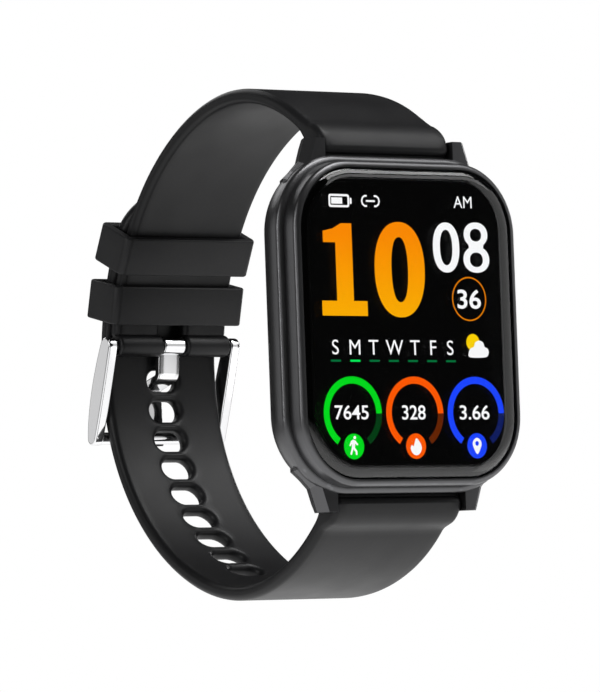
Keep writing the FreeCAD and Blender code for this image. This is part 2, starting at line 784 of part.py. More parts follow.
def spring_bar(prefix, level, z, half_length, reach):
    """A tube with a spring inside that pushes two end tips outwards."""
    bore = size.bar_tip_radius + size.running_clearance
    tube = rod(prefix + "_tube_outer", -half_length, level, z, size.bar_radius, 2 * half_length)
    hole = rod(prefix + "_tube_bore", -half_length - 1, level, z, bore, 2 * half_length + 2)
    keep(prefix + "_bar_tube", subtract(prefix + "_bar_tube", tube, hole))
    tips = [rod(prefix + "_tip_left", -reach, level, z, size.bar_tip_radius, size.bar_tip_length),
            rod(prefix + "_tip_right", reach - size.bar_tip_length, level, z, size.bar_tip_radius,
                size.bar_tip_length)]
    group(prefix + "_bar_tips", tips)
    spring_half = reach - size.bar_tip_length
    coil = rod(prefix + "_spring_outer", -spring_half, level, z, size.bar_tip_radius, 2 * spring_half)
    core = rod(prefix + "_spring_core", -spring_half - 1, level, z, size.bar_tip_radius - 0.15,
               2 * spring_half + 2)
    return subtract(prefix + "_spring", coil, core)


# --- Strap -----------------------------------------------------------------------------------
# Each half of the strap is a band of tangent arcs in the YZ plane. Both halves share one circle
# at the back, where they overlap and where the keepers slide.

wrist_centre = Vector(0, size.wrist_centre_y.value, size.wrist_centre_z.value)


def on_circle(centre, radius, degrees):
    angle = math.radians(degrees)
    return centre + Vector(0, math.cos(angle), math.sin(angle)) * radius


def arc_chain(radius, start_angle, arcs):
    """Centres, radii and angles of tangent arcs. Each arc is (radius or None, end angle)."""
    centre = wrist_centre
    chain = []
    angle = start_angle
    for new_radius, end_angle in arcs:
        if new_radius is not None:
            centre = on_circle(centre, radius - new_radius, angle)
            radius = new_radius
        chain.append((centre, radius, angle, end_angle))
        angle = end_angle
    return chain


def arc_edge(centre, radius, start, end):
    middle = on_circle(centre, radius, (start + end) / 2)
    return Part.Arc(on_circle(centre, radius, start), middle, on_circle(centre, radius, end)).toShape()


def line_edge(start, end):
    return Part.LineSegment(start, end).toShape()


def band_face(chain, offset_in, offset_out):
    """The side view of a band: the chain offset inwards and outwards, closed at both ends."""
    outer = [arc_edge(centre, radius + offset_out, start, end) for centre, radius, start, end in chain]
    inner = [arc_edge(centre, radius - offset_in, start, end) for centre, radius, start, end in chain]
    ends = [line_edge(inner[0].Vertexes[0].Point, outer[0].Vertexes[0].Point),
            line_edge(inner[-1].Vertexes[-1].Point, outer[-1].Vertexes[-1].Point)]
    return Part.Face(Part.Wire(Part.__sortEdges__(outer + inner + ends)))


def across(face, half_width):
    """Extrudes a side view to both sides of the middle plane."""
    moved = face.copy()
    moved.translate(Vector(-half_width, 0, 0))
    return moved.extrude(Vector(2 * half_width, 0, 0))


def along_x(centre, radius, half_width):
    return Part.makeCylinder(radius, 2 * half_width, centre - Vector(half_width, 0, 0), Vector(1, 0, 0))


def bar_centre(end):
    return Vector(0, -size.bar_level.value, bar_distance.value * end)


def strap_plan(half_root, half_end, tall):
    """The strap seen along Z: full width at the case, tapering to the narrow back."""
    front = -20.0
    back = 80.0
    start = size.taper_start_y.value
    end = size.taper_end_y.value
    points = [(half_root, front), (half_root, start), (half_end, end), (half_end, back), (-half_end, back),
              (-half_end, end), (-half_root, start), (-half_root, front), (half_root, front)]
    wire = Part.makePolygon([Vector(x, y, -tall) for x, y in points])
    return Part.Face(wire).extrude(Vector(0, 0, 2 * tall))


def root_wedge(end):
    """The thick root between and outside the lugs, almost flush with their front faces."""
    front = size.strap_root_inset.value - size.lug_front_level.value
    tip = lug_tip.value
    near = size.case_height.value / 2 + size.strap_case_gap.value
    points = [(front, near + 0.7), (front, tip + 0.1), (front + 0.5, tip + 0.75), (-4.3, tip + 2.1),
              (-2.6, tip + 3.2), (-1.2, tip + 2.9), (-3.4, tip + 0.4), (-4.6, tip - 1.0), (-4.6, near),
              (front + 0.7, near)]
    corners = [Vector(0, y, z * end) for y, z in points]
    return Part.Face(Part.makePolygon(corners + corners[:1]))


half_root = size.lug_gap.value / 2 - size.strap_root_clearance.value
half_end = size.strap_end_width.value / 2
band = size.strap_thickness.value
upper_mid = size.wrist_radius.value + band / 2
lower_mid = upper_mid + band + size.overlap_gap.value
pin_centre = on_circle(wrist_centre, size.pin_radius_from_centre.value, size.pin_angle.value)

UPPER_ARCS = [(None, 33.0), (33.2, 62.0), (25.0, 128.0)]
LOWER_ARCS = [(None, -4.0), (31.9, -65.0), (25.6, -141.0)]


def strap_blank(chain, end):
    """Band, knuckle and root in one solid, tapered in plan, with the spring bar's hole."""
    last = chain[-1]
    tail = on_circle(last[0], last[1], last[3])
    bar = bar_centre(end)
    run = bar - tail
    normal = Vector(0, -run.z, run.y).normalize() * (band / 2)
    neck = Part.Face(Part.makePolygon([tail + normal, bar + normal, bar - normal, tail - normal, tail + normal]))
    solid = across(band_face(chain, band / 2, band / 2), half_root)
    solid = solid.fuse([across(neck, half_root), along_x(bar, size.knuckle_radius.value, half_root),
                        across(root_wedge(end), half_root)])
    solid = solid.common(strap_plan(half_root, half_end, 60.0)).removeSplitter()
    hole = size.bar_radius.value + size.running_clearance.value
    return solid.cut(along_x(bar, hole, half_root + 1))


def make_solid(name, shape):
    item = doc.addObject("Part::Feature", name)
    item.Shape = shape
    return keep(name, item)


def upper_strap():
    """The short half. Its end rolls round the buckle pin, with a notch for the tongue."""
    chain = arc_chain(upper_mid, size.pin_angle.value + 1.2, UPPER_ARCS)
    solid = strap_blank(chain, 1)
    solid = solid.fuse(along_x(pin_centre, size.roll_radius.value, half_end)).removeSplitter()
    pin_hole = size.bar_radius.value + size.running_clearance.value
    solid = solid.cut(along_x(pin_centre, pin_hole, half_end + 1))
    half_notch = size.notch_width.value / 2
    notch = Part.makeBox(2 * half_notch, 12, 6, Vector(-half_notch, pin_centre.y - 6, pin_centre.z - 3.4))
    return make_solid("strap_upper", solid.cut(notch))


def hole_tool(length, chain):
    """A round-ended slot across the strap, square to the band at that length past its start."""
    centre, direction = strap_point(chain, length)
    half_length = size.hole_length.value / 2
    radius = size.hole_width.value / 2
    flat = half_length - radius
    ends = [Part.makeCylinder(radius, 8, centre + Vector(x, 0, 0) - direction * 4, direction) for x in (-flat, flat)]
    block = Part.makeBox(2 * flat, 2 * radius, 8, Vector(-flat, -radius, -4))
    block.Placement = Placement(centre, Rotation(Vector(0, 0, 1), direction))
    return ends[0].fuse([ends[1], block])


def strap_point(chain, length):
    """The point and the outward direction on the middle line, a length past its start."""
    for centre, radius, start, end in chain:
        arc = math.radians(abs(end - start)) * radius
        if length <= arc:
            break
        length -= arc
    sign = 1 if end > start else -1
    angle = start + sign * math.degrees(length / radius)
    point = on_circle(centre, radius, angle)
    return point, (point - centre).normalize()


def lower_strap():
    """The long half with the holes. Its tail lies outside the upper half, inside the keepers."""
    chain = arc_chain(lower_mid, size.tail_angle.value, LOWER_ARCS)
    solid = strap_blank(chain, -1)
    first = math.radians(size.tail_angle.value - size.hole_angle.value) * lower_mid
    for index in range(9):
        solid = solid.cut(hole_tool(first + index * size.hole_pitch.value, chain))
    return make_solid("strap_lower", solid.cut(tail_trim()))


def tail_trim():
    """What is cut from the square end of the tail to leave it round."""
    tip = on_circle(wrist_centre, lower_mid, size.tail_angle.value)
    outward = (tip - wrist_centre).normalize()
    along = Vector(0, -outward.z, outward.y)
    inset = size.tail_round.value
    radius = half_end * 1.08
    thick = 8.0
    corners = Part.makeBox(2 * half_end + 2, inset + 2, thick, Vector(-half_end - 1, 0, -thick / 2))
    rounder = Part.makeCylinder(radius, thick, Vector(0, inset - radius, -thick / 2), Vector(0, 0, 1))
    trim = corners.cut(rounder)
    trim.Placement = Placement(tip - along * inset, Rotation(Vector(-1, 0, 0), along, outward, "XZY"))
    return trim


def keeper(name, angle):
    """A rectangular loop, bent to the wrist circle, that slides along both strap halves."""
    body = new_body(name)
    inside = size.wrist_radius - size.keeper_gap
    outside = size.wrist_radius + 2 * size.strap_thickness + size.overlap_gap + size.keeper_gap
    middle = (inside + outside) / 2
    depth = outside - inside
    width = size.strap_end_width + 2 * size.keeper_gap
    sketch = new_sketch(body, "XY_Plane")
    for extra, wall, edge in ((0, 0, 0.25), (1, 1, size.keeper_edge)):
        half_width = width / 2 + size.keeper_side_wall * extra
        half_depth = depth / 2 + size.keeper_wall * wall
        bevel = as_size(edge)
        low = middle - half_depth
        high = middle + half_depth
        add_polygon(sketch, [(bevel - half_width, low), (half_width - bevel, low), (half_width, low + bevel),
                             (half_width, high - bevel), (half_width - bevel, high), (bevel - half_width, high),
                             (-half_width, high - bevel), (-half_width, low + bevel)])
    turn = body.newObject("PartDesign::Revolution", name + "_turn")
    turn.Profile = sketch
    turn.ReferenceAxis = (sketch, ["H_Axis"])
    turn.Midplane = True
    bind(turn, "Angle", size.keeper_length / size.wrist_radius * 57.3)
    doc.recompute()
    body.Placement = Placement(wrist_centre, Rotation(Vector(1, 0, 0), number(angle)))
    bind(body, "Placement.Base.y", size.wrist_centre_y)
    bind(body, "Placement.Base.z", size.wrist_centre_z)
    return body


# --- Buckle ----------------------------------------------------------------------------------


def link_face(start, start_radius, end, end_radius):
    """The outline round two circles, as a belt round two pulleys."""
    run = end - start
    length = run.Length
    heading = math.atan2(run.z, run.y)
    lean = math.acos((start_radius - end_radius) / length)
    corners = []
    for centre, radius, order in ((start, start_radius, (1, -1)), (end, end_radius, (-1, 1))):
        for sign in order:
            corners.append(on_circle(centre, radius, math.degrees(heading + sign * lean)))
    far_start = on_circle(start, start_radius, math.degrees(heading) + 180)
    far_end = on_circle(end, end_radius, math.degrees(heading))
    edges = [Part.Arc(corners[0], far_start, corners[1]).toShape(), line_edge(corners[1], corners[2]),
             Part.Arc(corners[2], far_end, corners[3]).toShape(), line_edge(corners[3], corners[0])]
    return Part.Face(Part.Wire(edges))


def cross_bar_centre():
    """The bar lies just outside the lower strap, two and three quarter holes below the pin."""
    chain = arc_chain(lower_mid, size.tail_angle.value, LOWER_ARCS)
    to_pin = math.radians(size.tail_angle.value - size.pin_angle.value) * lower_mid
    point, outward = strap_point(chain, to_pin + 12.6)
    return point + outward * (band / 2 + size.overlap_gap.value + size.cross_bar_radius.value)


bar_place = cross_bar_centre()
arm_inner = half_end + size.arm_gap.value
arm_outer = arm_inner + size.arm_thickness.value
arm_middle = (pin_centre + bar_place) * 0.5 + Vector(0, 0.45, -0.5)


def buckle_frame():
    """Two curved arms and the cross bar. The arms turn on the pin's tips."""
    eye = link_face(pin_centre, size.arm_eye_radius.value, arm_middle, size.arm_middle_radius.value)
    foot = link_face(arm_middle, size.arm_middle_radius.value, bar_place, size.arm_foot_radius.value)
    solid = along_x(bar_place, size.cross_bar_radius.value, arm_outer - 0.5)
    hole = along_x(pin_centre, size.bar_tip_radius.value + size.running_clearance.value, arm_outer + 1)
    for side in (-1, 1):
        start = arm_inner if side > 0 else -arm_outer
        for face in (eye, foot):
            moved = face.copy()
            moved.translate(Vector(start, 0, 0))
            solid = solid.fuse(moved.extrude(Vector(size.arm_thickness.value, 0, 0)))
    return make_solid("buckle_frame", solid.removeSplitter().cut(hole))


def rounded_path(points, radius):
    """Straight runs joined by tangent arcs of one radius."""
    edges = []
    start = points[0]
    for before, corner, after in zip(points, points[1:], points[2:]):
        into = (corner - before).normalize()
        out = (after - corner).normalize()
        half_turn = into.getAngle(out) / 2
        setback = radius * math.tan(half_turn)
        begin = corner - into * setback
        finish = corner + out * setback
        middle = corner + (out - into).normalize() * (radius / math.cos(half_turn) - radius)
        edges.append(line_edge(start, begin))
        edges.append(Part.Arc(begin, middle, finish).toShape())
        start = finish
    edges.append(line_edge(start, points[-1]))
    return edges


def offset_points(points, distance):
    """Moves an open YZ outline sideways, keeping each run parallel."""
    moved = []
    for index, point in enumerate(points):
        runs = []
        if index > 0:
            runs.append((point - points[index - 1]).normalize())
        if index < len(points) - 1:
            runs.append((points[index + 1] - point).normalize())
        normals = [Vector(0, -run.z, run.y) for run in runs]
        total = normals[0] + normals[-1]
        total = total.normalize()
        moved.append(point + total * (distance / total.dot(normals[0])))
    return moved


def buckle_tongue():
    """A cranked tongue: an eye on the pin, a step out through the hole, a tip on the bar."""
    half = size.tongue_thickness.value / 2
    eye_radius = size.bar_radius.value + size.running_clearance.value + 0.5
    chain = arc_chain(lower_mid, size.tail_angle.value, LOWER_ARCS)
    to_hole = math.radians(size.tail_angle.value - size.hole_angle.value) * lower_mid
    hole, outward = strap_point(chain, to_hole)
    down = Vector(0, outward.z, -outward.y)
    inside = hole - outward * (band / 2 + size.tongue_inner_gap.value + half)
    beyond = hole + outward * (band / 2 + size.tongue_outer_gap.value + half)
    tip = bar_place + outward * (size.cross_bar_radius.value + half + 0.03) + down * 1.0
    start = Vector(0, pin_centre.y + eye_radius - half, pin_centre.z)
    points = [start, inside - down * 0.4, beyond + down * 0.8, tip]
    left = rounded_path(offset_points(points, half), 0.5)
    right = rounded_path(offset_points(points, -half), 0.5)
    ends = [line_edge(left[0].Vertexes[0].Point, right[0].Vertexes[0].Point),
            line_edge(left[-1].Vertexes[-1].Point, right[-1].Vertexes[-1].Point)]
    face = Part.Face(Part.Wire(Part.__sortEdges__(left + right + ends)))
    half_width = size.tongue_width.value / 2
    solid = across(face, half_width).fuse(along_x(pin_centre, eye_radius, half_width)).removeSplitter()
    bore = size.bar_radius.value + size.running_clearance.value
    return make_solid("buckle_tongue", solid.cut(along_x(pin_centre, bore, half_width + 1)))


# --- Build -----------------------------------------------------------------------------------

case_frame()
front_bezel()
glass_and_display()
inner_frame()
main_board()
board_screws()
battery_and_motor()
side_button()
back_cover()
sensor_parts()

lug_bar_half = size.lug_gap / 2 - size.bar_end_gap
lug_bar_reach = size.lug_gap / 2 + size.bar_tip_reach
springs = [spring_bar(name, size.bar_level, bar_distance * end, lug_bar_half, lug_bar_reach)
           for name, end in (("upper", 1), ("lower", -1))]
group("lug_bar_springs", springs)
pin_y = size.wrist_centre_y + Size(math.cos(math.radians(size.pin_angle.value)),
                                   "cos(Sizes.pin_angle)") * size.pin_radius_from_centre
pin_z = size.wrist_centre_z + Size(math.sin(math.radians(size.pin_angle.value)),
                                   "sin(Sizes.pin_angle)") * size.pin_radius_from_centre
pin_half = size.strap_end_width / 2 + size.arm_gap / 2
pin_reach = size.strap_end_width / 2 + size.arm_gap + size.arm_thickness - 0.3
keep("pin_spring", spring_bar("buckle", -pin_y, pin_z, pin_half, pin_reach))

upper_strap()
lower_strap()
keeper("keeper_upper", size.keeper_upper_angle)
keeper("keeper_lower", size.keeper_lower_angle)
buckle_frame()
buckle_tongue()

doc.recompute()
for item in doc.Objects:
    if "Invalid" in item.State or "Error" in item.State:
        raise ValueError("%s did not build: %s" % (item.Name, item.State))
for name, item in nodes.items():
    if item.Shape.isNull() or not item.Shape.isValid() or not item.Shape.Solids:
        raise ValueError(name + " has no valid solid")
for name, item in nodes.items():
    item.Shape.exportStep("parts/%s.step" % name)
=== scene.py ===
"""A smartwatch on its closed silicone strap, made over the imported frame."""

import json
import math

import bmesh
import bpy
from mathutils import Matrix, Vector
from mathutils.geometry import delaunay_2d_cdt


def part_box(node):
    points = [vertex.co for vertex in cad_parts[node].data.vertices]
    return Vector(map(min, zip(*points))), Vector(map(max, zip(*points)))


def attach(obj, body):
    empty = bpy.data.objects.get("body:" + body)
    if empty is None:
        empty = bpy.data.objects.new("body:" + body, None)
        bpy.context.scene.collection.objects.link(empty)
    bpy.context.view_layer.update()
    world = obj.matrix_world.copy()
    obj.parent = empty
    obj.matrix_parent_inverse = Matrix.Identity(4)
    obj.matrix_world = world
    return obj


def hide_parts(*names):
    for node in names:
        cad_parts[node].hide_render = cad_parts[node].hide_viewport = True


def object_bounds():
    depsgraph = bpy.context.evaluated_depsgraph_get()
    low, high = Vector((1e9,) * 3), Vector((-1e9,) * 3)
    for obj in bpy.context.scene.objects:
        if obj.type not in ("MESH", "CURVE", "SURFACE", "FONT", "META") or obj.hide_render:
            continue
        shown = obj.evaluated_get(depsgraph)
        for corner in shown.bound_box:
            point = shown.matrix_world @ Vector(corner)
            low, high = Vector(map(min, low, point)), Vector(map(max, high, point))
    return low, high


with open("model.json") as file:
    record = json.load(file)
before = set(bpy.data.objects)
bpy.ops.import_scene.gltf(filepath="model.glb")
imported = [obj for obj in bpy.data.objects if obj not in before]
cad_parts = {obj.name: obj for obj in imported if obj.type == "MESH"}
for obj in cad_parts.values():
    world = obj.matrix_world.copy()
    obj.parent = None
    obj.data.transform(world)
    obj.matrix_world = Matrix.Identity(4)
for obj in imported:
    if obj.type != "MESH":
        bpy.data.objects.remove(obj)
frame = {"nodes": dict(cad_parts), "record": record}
cad_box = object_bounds()
scene = bpy.context.scene

MM = 0.001
MERGE_DISTANCE = 0.0005 * MM


# --- Shader groups ---------------------------------------------------------------------------


def shader_group(name, inputs, outputs):
    """An empty shader group with named sockets, given as (name, kind, default)."""
    group = bpy.data.node_groups.new(name, "ShaderNodeTree")
    for label, kind, default in inputs:
        socket = group.interface.new_socket(label, in_out="INPUT", socket_type="NodeSocket" + kind)
        if default is not None:
            socket.default_value = default
    for label, kind in outputs:
        group.interface.new_socket(label, in_out="OUTPUT", socket_type="NodeSocket" + kind)
    return group, group.nodes.new("NodeGroupInput"), group.nodes.new("NodeGroupOutput")


def math_node(tree, operation, first, second, clamp=False):
    """A Math node's result; each value is a number or another node's socket."""
    node = tree.nodes.new("ShaderNodeMath")
    node.operation = operation
    node.use_clamp = clamp
    for socket, value in zip(node.inputs, (first, second)):
        if isinstance(value, bpy.types.NodeSocket):
            tree.links.new(value, socket)
        else:
            socket.default_value = value
    return node.outputs[0]


def mix_colour(tree, factor, first, second):
    """The first colour where the factor is 0 and the second where it is 1."""
    node = tree.nodes.new("ShaderNodeMix")
    node.data_type = "RGBA"
    for socket, value in ((node.inputs[0], factor), (node.inputs[6], first), (node.inputs[7], second)):
        if isinstance(value, bpy.types.NodeSocket):
            tree.links.new(value, socket)
        else:
            socket.default_value = value
    return node.outputs[2]


def noise_value(tree, where, scale, detail):
    """The value of a noise texture whose place and scale come from sockets."""
    node = tree.nodes.new("ShaderNodeTexNoise")
    node.inputs["Detail"].default_value = detail
    tree.links.new(where, node.inputs["Vector"])
    tree.links.new(scale, node.inputs["Scale"])
    return node.outputs["Fac"]


def make_grain():
    """Fine surface grain: mottles the colour, varies the gloss and gives a height for bump."""
    group, inside, outside = shader_group(
        "fine_grain",
        [("Vector", "Vector", None), ("Colour", "Color", (0.5, 0.5, 0.5, 1)), ("Scale", "Float", 900.0),
         ("Mottle", "Float", 0.1), ("Gloss", "Float", 0.4), ("Gloss Spread", "Float", 0.1)],
        [("Colour", "Color"), ("Roughness", "Float"), ("Height", "Float")])
    pale = (0.35, 0.35, 0.36, 1)
    broad_share = 0.06
    where = inside.outputs["Vector"]
    fine = noise_value(group, where, inside.outputs["Scale"], 4.0)
    broad_scale = math_node(group, "MULTIPLY", inside.outputs["Scale"], broad_share)
    broad = noise_value(group, where, broad_scale, 2.0)
    amount = math_node(group, "MULTIPLY", inside.outputs["Mottle"], fine)
    lighter = mix_colour(group, amount, inside.outputs["Colour"], pale)
    blotch = math_node(group, "SUBTRACT", broad, 0.5)
    spread = math_node(group, "MULTIPLY", blotch, inside.outputs["Gloss Spread"])
    rough = math_node(group, "ADD", inside.outputs["Gloss"], spread, clamp=True)
    group.links.new(lighter, outside.inputs["Colour"])
    group.links.new(rough, outside.inputs["Roughness"])
    group.links.new(fine, outside.inputs["Height"])
    return group


def make_edge_wear():
    """Rubbed edges: a mask that rises on outward corners and is broken up by noise."""
    group, inside, outside = shader_group(
        "edge_wear",
        [("Vector", "Vector", None), ("Start", "Float", 0.52), ("Strength", "Float", 6.0),
         ("Break Up", "Float", 700.0)],
        [("Mask", "Float")])
    geometry = group.nodes.new("ShaderNodeNewGeometry")
    rise = math_node(group, "SUBTRACT", geometry.outputs["Pointiness"], inside.outputs["Start"])
    raised = math_node(group, "MULTIPLY", rise, inside.outputs["Strength"], clamp=True)
    noise = noise_value(group, inside.outputs["Vector"], inside.outputs["Break Up"], 3.0)
    worn = math_node(group, "MULTIPLY", raised, noise, clamp=True)
    group.links.new(worn, outside.inputs["Mask"])
    return group


def make_dust():
    """Sparse pale specks of lint and dust."""
    group, inside, outside = shader_group(
        "dust_specks",
        [("Vector", "Vector", None), ("Scale", "Float", 1500.0), ("Amount", "Float", 0.1)],
        [("Mask", "Float")])
    cells = group.nodes.new("ShaderNodeTexVoronoi")
    group.links.new(inside.outputs["Vector"], cells.inputs["Vector"])
    group.links.new(inside.outputs["Scale"], cells.inputs["Scale"])
    near = math_node(group, "SUBTRACT", inside.outputs["Amount"], cells.outputs["Distance"])
    group.links.new(math_node(group, "MULTIPLY", near, 8.0, clamp=True), outside.inputs["Mask"])
    return group


def make_brush_lines():
    """Fine lines that run along X, as left by a polishing belt."""
    group, inside, outside = shader_group(
        "brush_lines",
        [("Vector", "Vector", None), ("Scale", "Float", 4000.0), ("Gloss", "Float", 0.2),
         ("Depth", "Float", 0.1)],
        [("Roughness", "Float"), ("Height", "Float")])
    stretch = group.nodes.new("ShaderNodeVectorMath")
    stretch.operation = "MULTIPLY"
    stretch.inputs[1].default_value = (0.03, 1.0, 1.0)
    group.links.new(inside.outputs["Vector"], stretch.inputs[0])
    noise = noise_value(group, stretch.outputs[0], inside.outputs["Scale"], 3.0)
    deep = math_node(group, "MULTIPLY", noise, inside.outputs["Depth"])
    rough = math_node(group, "ADD", inside.outputs["Gloss"], deep, clamp=True)
    group.links.new(rough, outside.inputs["Roughness"])
    group.links.new(noise, outside.inputs["Height"])
    return group


GRAIN = make_grain()
EDGE_WEAR = make_edge_wear()
DUST = make_dust()
BRUSH = make_brush_lines()


# --- Materials -------------------------------------------------------------------------------


def place_group(tree, group, coordinates, **values):
    """A shader group placed in a material, with its own values."""
    node = tree.nodes.new("ShaderNodeGroup")
    node.node_tree = group
    tree.links.new(coordinates, node.inputs["Vector"])
    for label, value in values.items():
        node.inputs[label.replace("_", " ")].default_value = value
    return node


def new_material(name, **settings):
    """A material, its tree and its shader, with plain numbers set on the shader's own sockets."""
    material = bpy.data.materials.new(name)
    material.use_nodes = True
    shader = material.node_tree.nodes["Principled BSDF"]
    for label, value in settings.items():
        shader.inputs[label.replace("_", " ")].default_value = value
    return material, material.node_tree, shader


def dusted(tree, where, amount, paint):
    """A colour with pale specks laid thinly over it."""
    specks = place_group(tree, DUST, where, Amount=amount)
    cover = math_node(tree, "MULTIPLY", specks.outputs["Mask"], 0.35)
    return mix_colour(tree, cover, paint, (0.3, 0.3, 0.3, 1))


def finish(name, colour, gloss, metallic=0.0, scale=900.0, mottle=0.1, spread=0.12, bump=0.05, wear=None,
           dust=0.0, brushed=0.0, coat=0.0, specular=0.5):
    """A material with grain and bump, and rubbed edges, dust or brush lines if asked."""
    material, tree, shader = new_material(name, Metallic=metallic, Specular_IOR_Level=specular,
                                          Coat_Weight=coat, Coat_Roughness=0.08)
    where = tree.nodes.new("ShaderNodeTexCoord").outputs["Object"]
    grain = place_group(tree, GRAIN, where, Colour=(*colour, 1), Scale=scale, Mottle=mottle, Gloss=gloss,
                        Gloss_Spread=spread)
    paint = grain.outputs["Colour"]
    rough = grain.outputs["Roughness"]
    height = grain.outputs["Height"]
    if wear:
        worn = place_group(tree, EDGE_WEAR, where, Strength=7.0)
        paint = mix_colour(tree, worn.outputs["Mask"], paint, (*wear, 1))
    if dust:
        paint = dusted(tree, where, dust, paint)
    if brushed:
        lines = place_group(tree, BRUSH, where, Gloss=gloss, Depth=brushed)
        rough = lines.outputs["Roughness"]
        height = lines.outputs["Height"]
    relief = tree.nodes.new("ShaderNodeBump")
    relief.inputs["Strength"].default_value = bump
    relief.inputs["Distance"].default_value = 0.05 * MM
    tree.links.new(height, relief.inputs["Height"])
    tree.links.new(paint, shader.inputs["Base Color"])
    tree.links.new(rough, shader.inputs["Roughness"])
    tree.links.new(relief.outputs["Normal"], shader.inputs["Normal"])
    return material


def lit(name, colour, strength=1.15, second=None, low=0.0, high=1.0):
    """A lit part of the screen with a faint dot grid. With a second colour it fades along Z."""
    material, tree, shader = new_material(name, Base_Color=(0.0, 0.0, 0.0, 1), Roughness=0.6,
                                          Specular_IOR_Level=0.0, Emission_Strength=strength)
    where = tree.nodes.new("ShaderNodeTexCoord").outputs["Object"]
    paint = (*colour, 1)
    if second:
        split = tree.nodes.new("ShaderNodeSeparateXYZ")
        tree.links.new(where, split.inputs[0])
        span = tree.nodes.new("ShaderNodeMapRange")
        span.inputs["From Min"].default_value = low
        span.inputs["From Max"].default_value = high
        tree.links.new(split.outputs["Z"], span.inputs["Value"])
        paint = mix_colour(tree, span.outputs["Result"], paint, (*second, 1))
    cells = tree.nodes.new("ShaderNodeTexVoronoi")
    cells.inputs["Scale"].default_value = 12000.0
    cells.inputs["Randomness"].default_value = 0.0
    tree.links.new(where, cells.inputs["Vector"])
    shade = math_node(tree, "MULTIPLY", cells.outputs["Distance"], 0.08)
    tree.links.new(mix_colour(tree, shade, paint, (0, 0, 0, 1)), shader.inputs["Emission Color"])
    return material


def clear_glass():
    """Clear glass under a thin coat, with a few specks of dust."""
    material, tree, shader = new_material("screen_glass", Roughness=0.0, Transmission_Weight=1.0, IOR=1.5,
                                          Coat_Weight=0.6, Coat_Roughness=0.06)
    where = tree.nodes.new("ShaderNodeTexCoord").outputs["Object"]
    paint = dusted(tree, where, 0.02, (0.97, 0.98, 0.99, 1))
    tree.links.new(paint, shader.inputs["Base Color"])
    return material


silicone = finish("soft_silicone", (0.011, 0.011, 0.012), 0.42, scale=2600.0, mottle=0.015,
                  spread=0.16, bump=0.12, dust=0.02, specular=0.3)
keeper_silicone = finish("keeper_silicone", (0.017, 0.017, 0.018), 0.46, scale=2600.0, mottle=0.02,
                         spread=0.12, bump=0.12, wear=(0.05, 0.05, 0.052), specular=0.3)
gunmetal = finish("gunmetal_coating", (0.12, 0.12, 0.124), 0.31, metallic=0.85, scale=5200.0,
                  mottle=0.05, spread=0.08, bump=0.06, wear=(0.22, 0.22, 0.23))
polished_steel = finish("polished_steel", (0.86, 0.86, 0.87), 0.08, metallic=1.0, scale=1500.0,
                        mottle=0.05, spread=0.06, bump=0.02, wear=(0.85, 0.85, 0.86))
plain_steel = finish("bar_steel", (0.42, 0.42, 0.43), 0.24, metallic=1.0, brushed=0.25, bump=0.08)
screen_black = finish("screen_black", (0.0004, 0.0004, 0.0005), 0.5, scale=9000.0, mottle=0.0005,
                      spread=0.05, bump=0.01, specular=0.0)
seal_black = finish("seal_rubber", (0.01, 0.01, 0.01), 0.6, scale=3000.0, mottle=0.02, bump=0.1)
back_plastic = finish("back_plastic", (0.018, 0.018, 0.02), 0.42, scale=6500.0, mottle=0.03,
                      spread=0.1, bump=0.25, dust=0.03)
sensor_glass = finish("sensor_window_gloss", (0.006, 0.006, 0.008), 0.06, scale=700.0, mottle=0.01,
                      spread=0.05, bump=0.01, coat=1.0)
gold = finish("contact_gold", (0.83, 0.6, 0.26), 0.2, metallic=1.0, brushed=0.15, wear=(0.9, 0.75, 0.45))
board_green = finish("board_green", (0.012, 0.09, 0.035), 0.35, scale=2400.0, mottle=0.08, bump=0.1)
chip_black = finish("chip_black", (0.02, 0.02, 0.021), 0.55, scale=7000.0, mottle=0.06, bump=0.2)
shield_tin = finish("shield_tin", (0.5, 0.5, 0.48), 0.3, metallic=1.0, brushed=0.3, bump=0.1)
battery_foil = finish("battery_foil", (0.55, 0.56, 0.58), 0.35, metallic=0.9, scale=500.0, spread=0.3,
                      bump=0.3)
flex_film = finish("flex_film", (0.42, 0.17, 0.03), 0.3, scale=1200.0, mottle=0.05, bump=0.05)
inner_plastic = finish("inner_plastic", (0.03, 0.03, 0.03), 0.5, scale=5000.0, mottle=0.04, bump=0.2)
rotor_metal = finish("rotor_metal", (0.35, 0.3, 0.22), 0.3, metallic=1.0, brushed=0.3, bump=0.1)
emitter_resin = finish("emitter_resin", (0.35, 0.55, 0.36), 0.15, scale=1500.0, mottle=0.1, coat=0.6)

BY_SLOT = {
    "case_metal": gunmetal, "button_metal": gunmetal, "buckle_steel": polished_steel,
    "small_steel": plain_steel, "strap_silicone": silicone, "keeper_silicone": keeper_silicone,
    "cover_glass": screen_black, "clear_adhesive": screen_black, "display_black": screen_black,
    "black_seal": seal_black, "flex_circuit": flex_film, "circuit_board": board_green,
    "chip_black": chip_black, "shield_tin": shield_tin, "battery_foil": battery_foil,
    "rotor_brass": rotor_metal, "inner_plastic": inner_plastic, "back_plastic": back_plastic,
    "sensor_glass": sensor_glass, "emitter_resin": emitter_resin, "contact_gold": gold,
}

for part in frame["record"]["subparts"]:
    node = frame["nodes"][part["node"]]
    node.data.materials.clear()
    node.data.materials.append(BY_SLOT[part["material_slot"]])


# --- Mesh helpers ----------------------------------------------------------------------------


def add_object(name, data, material=None):
    """A new object in the scene."""
    item = bpy.data.objects.new(name, data)
    scene.collection.objects.link(item)
    if material:
        item.data.materials.append(material)
    return item


def clean_mesh(data):
    """Merges doubles and points the faces outwards."""
    work = bmesh.new()
    work.from_mesh(data)
    bmesh.ops.remove_doubles(work, verts=work.verts, dist=MERGE_DISTANCE)
    bmesh.ops.recalc_face_normals(work, faces=work.faces)
    work.to_mesh(data)
    work.free()


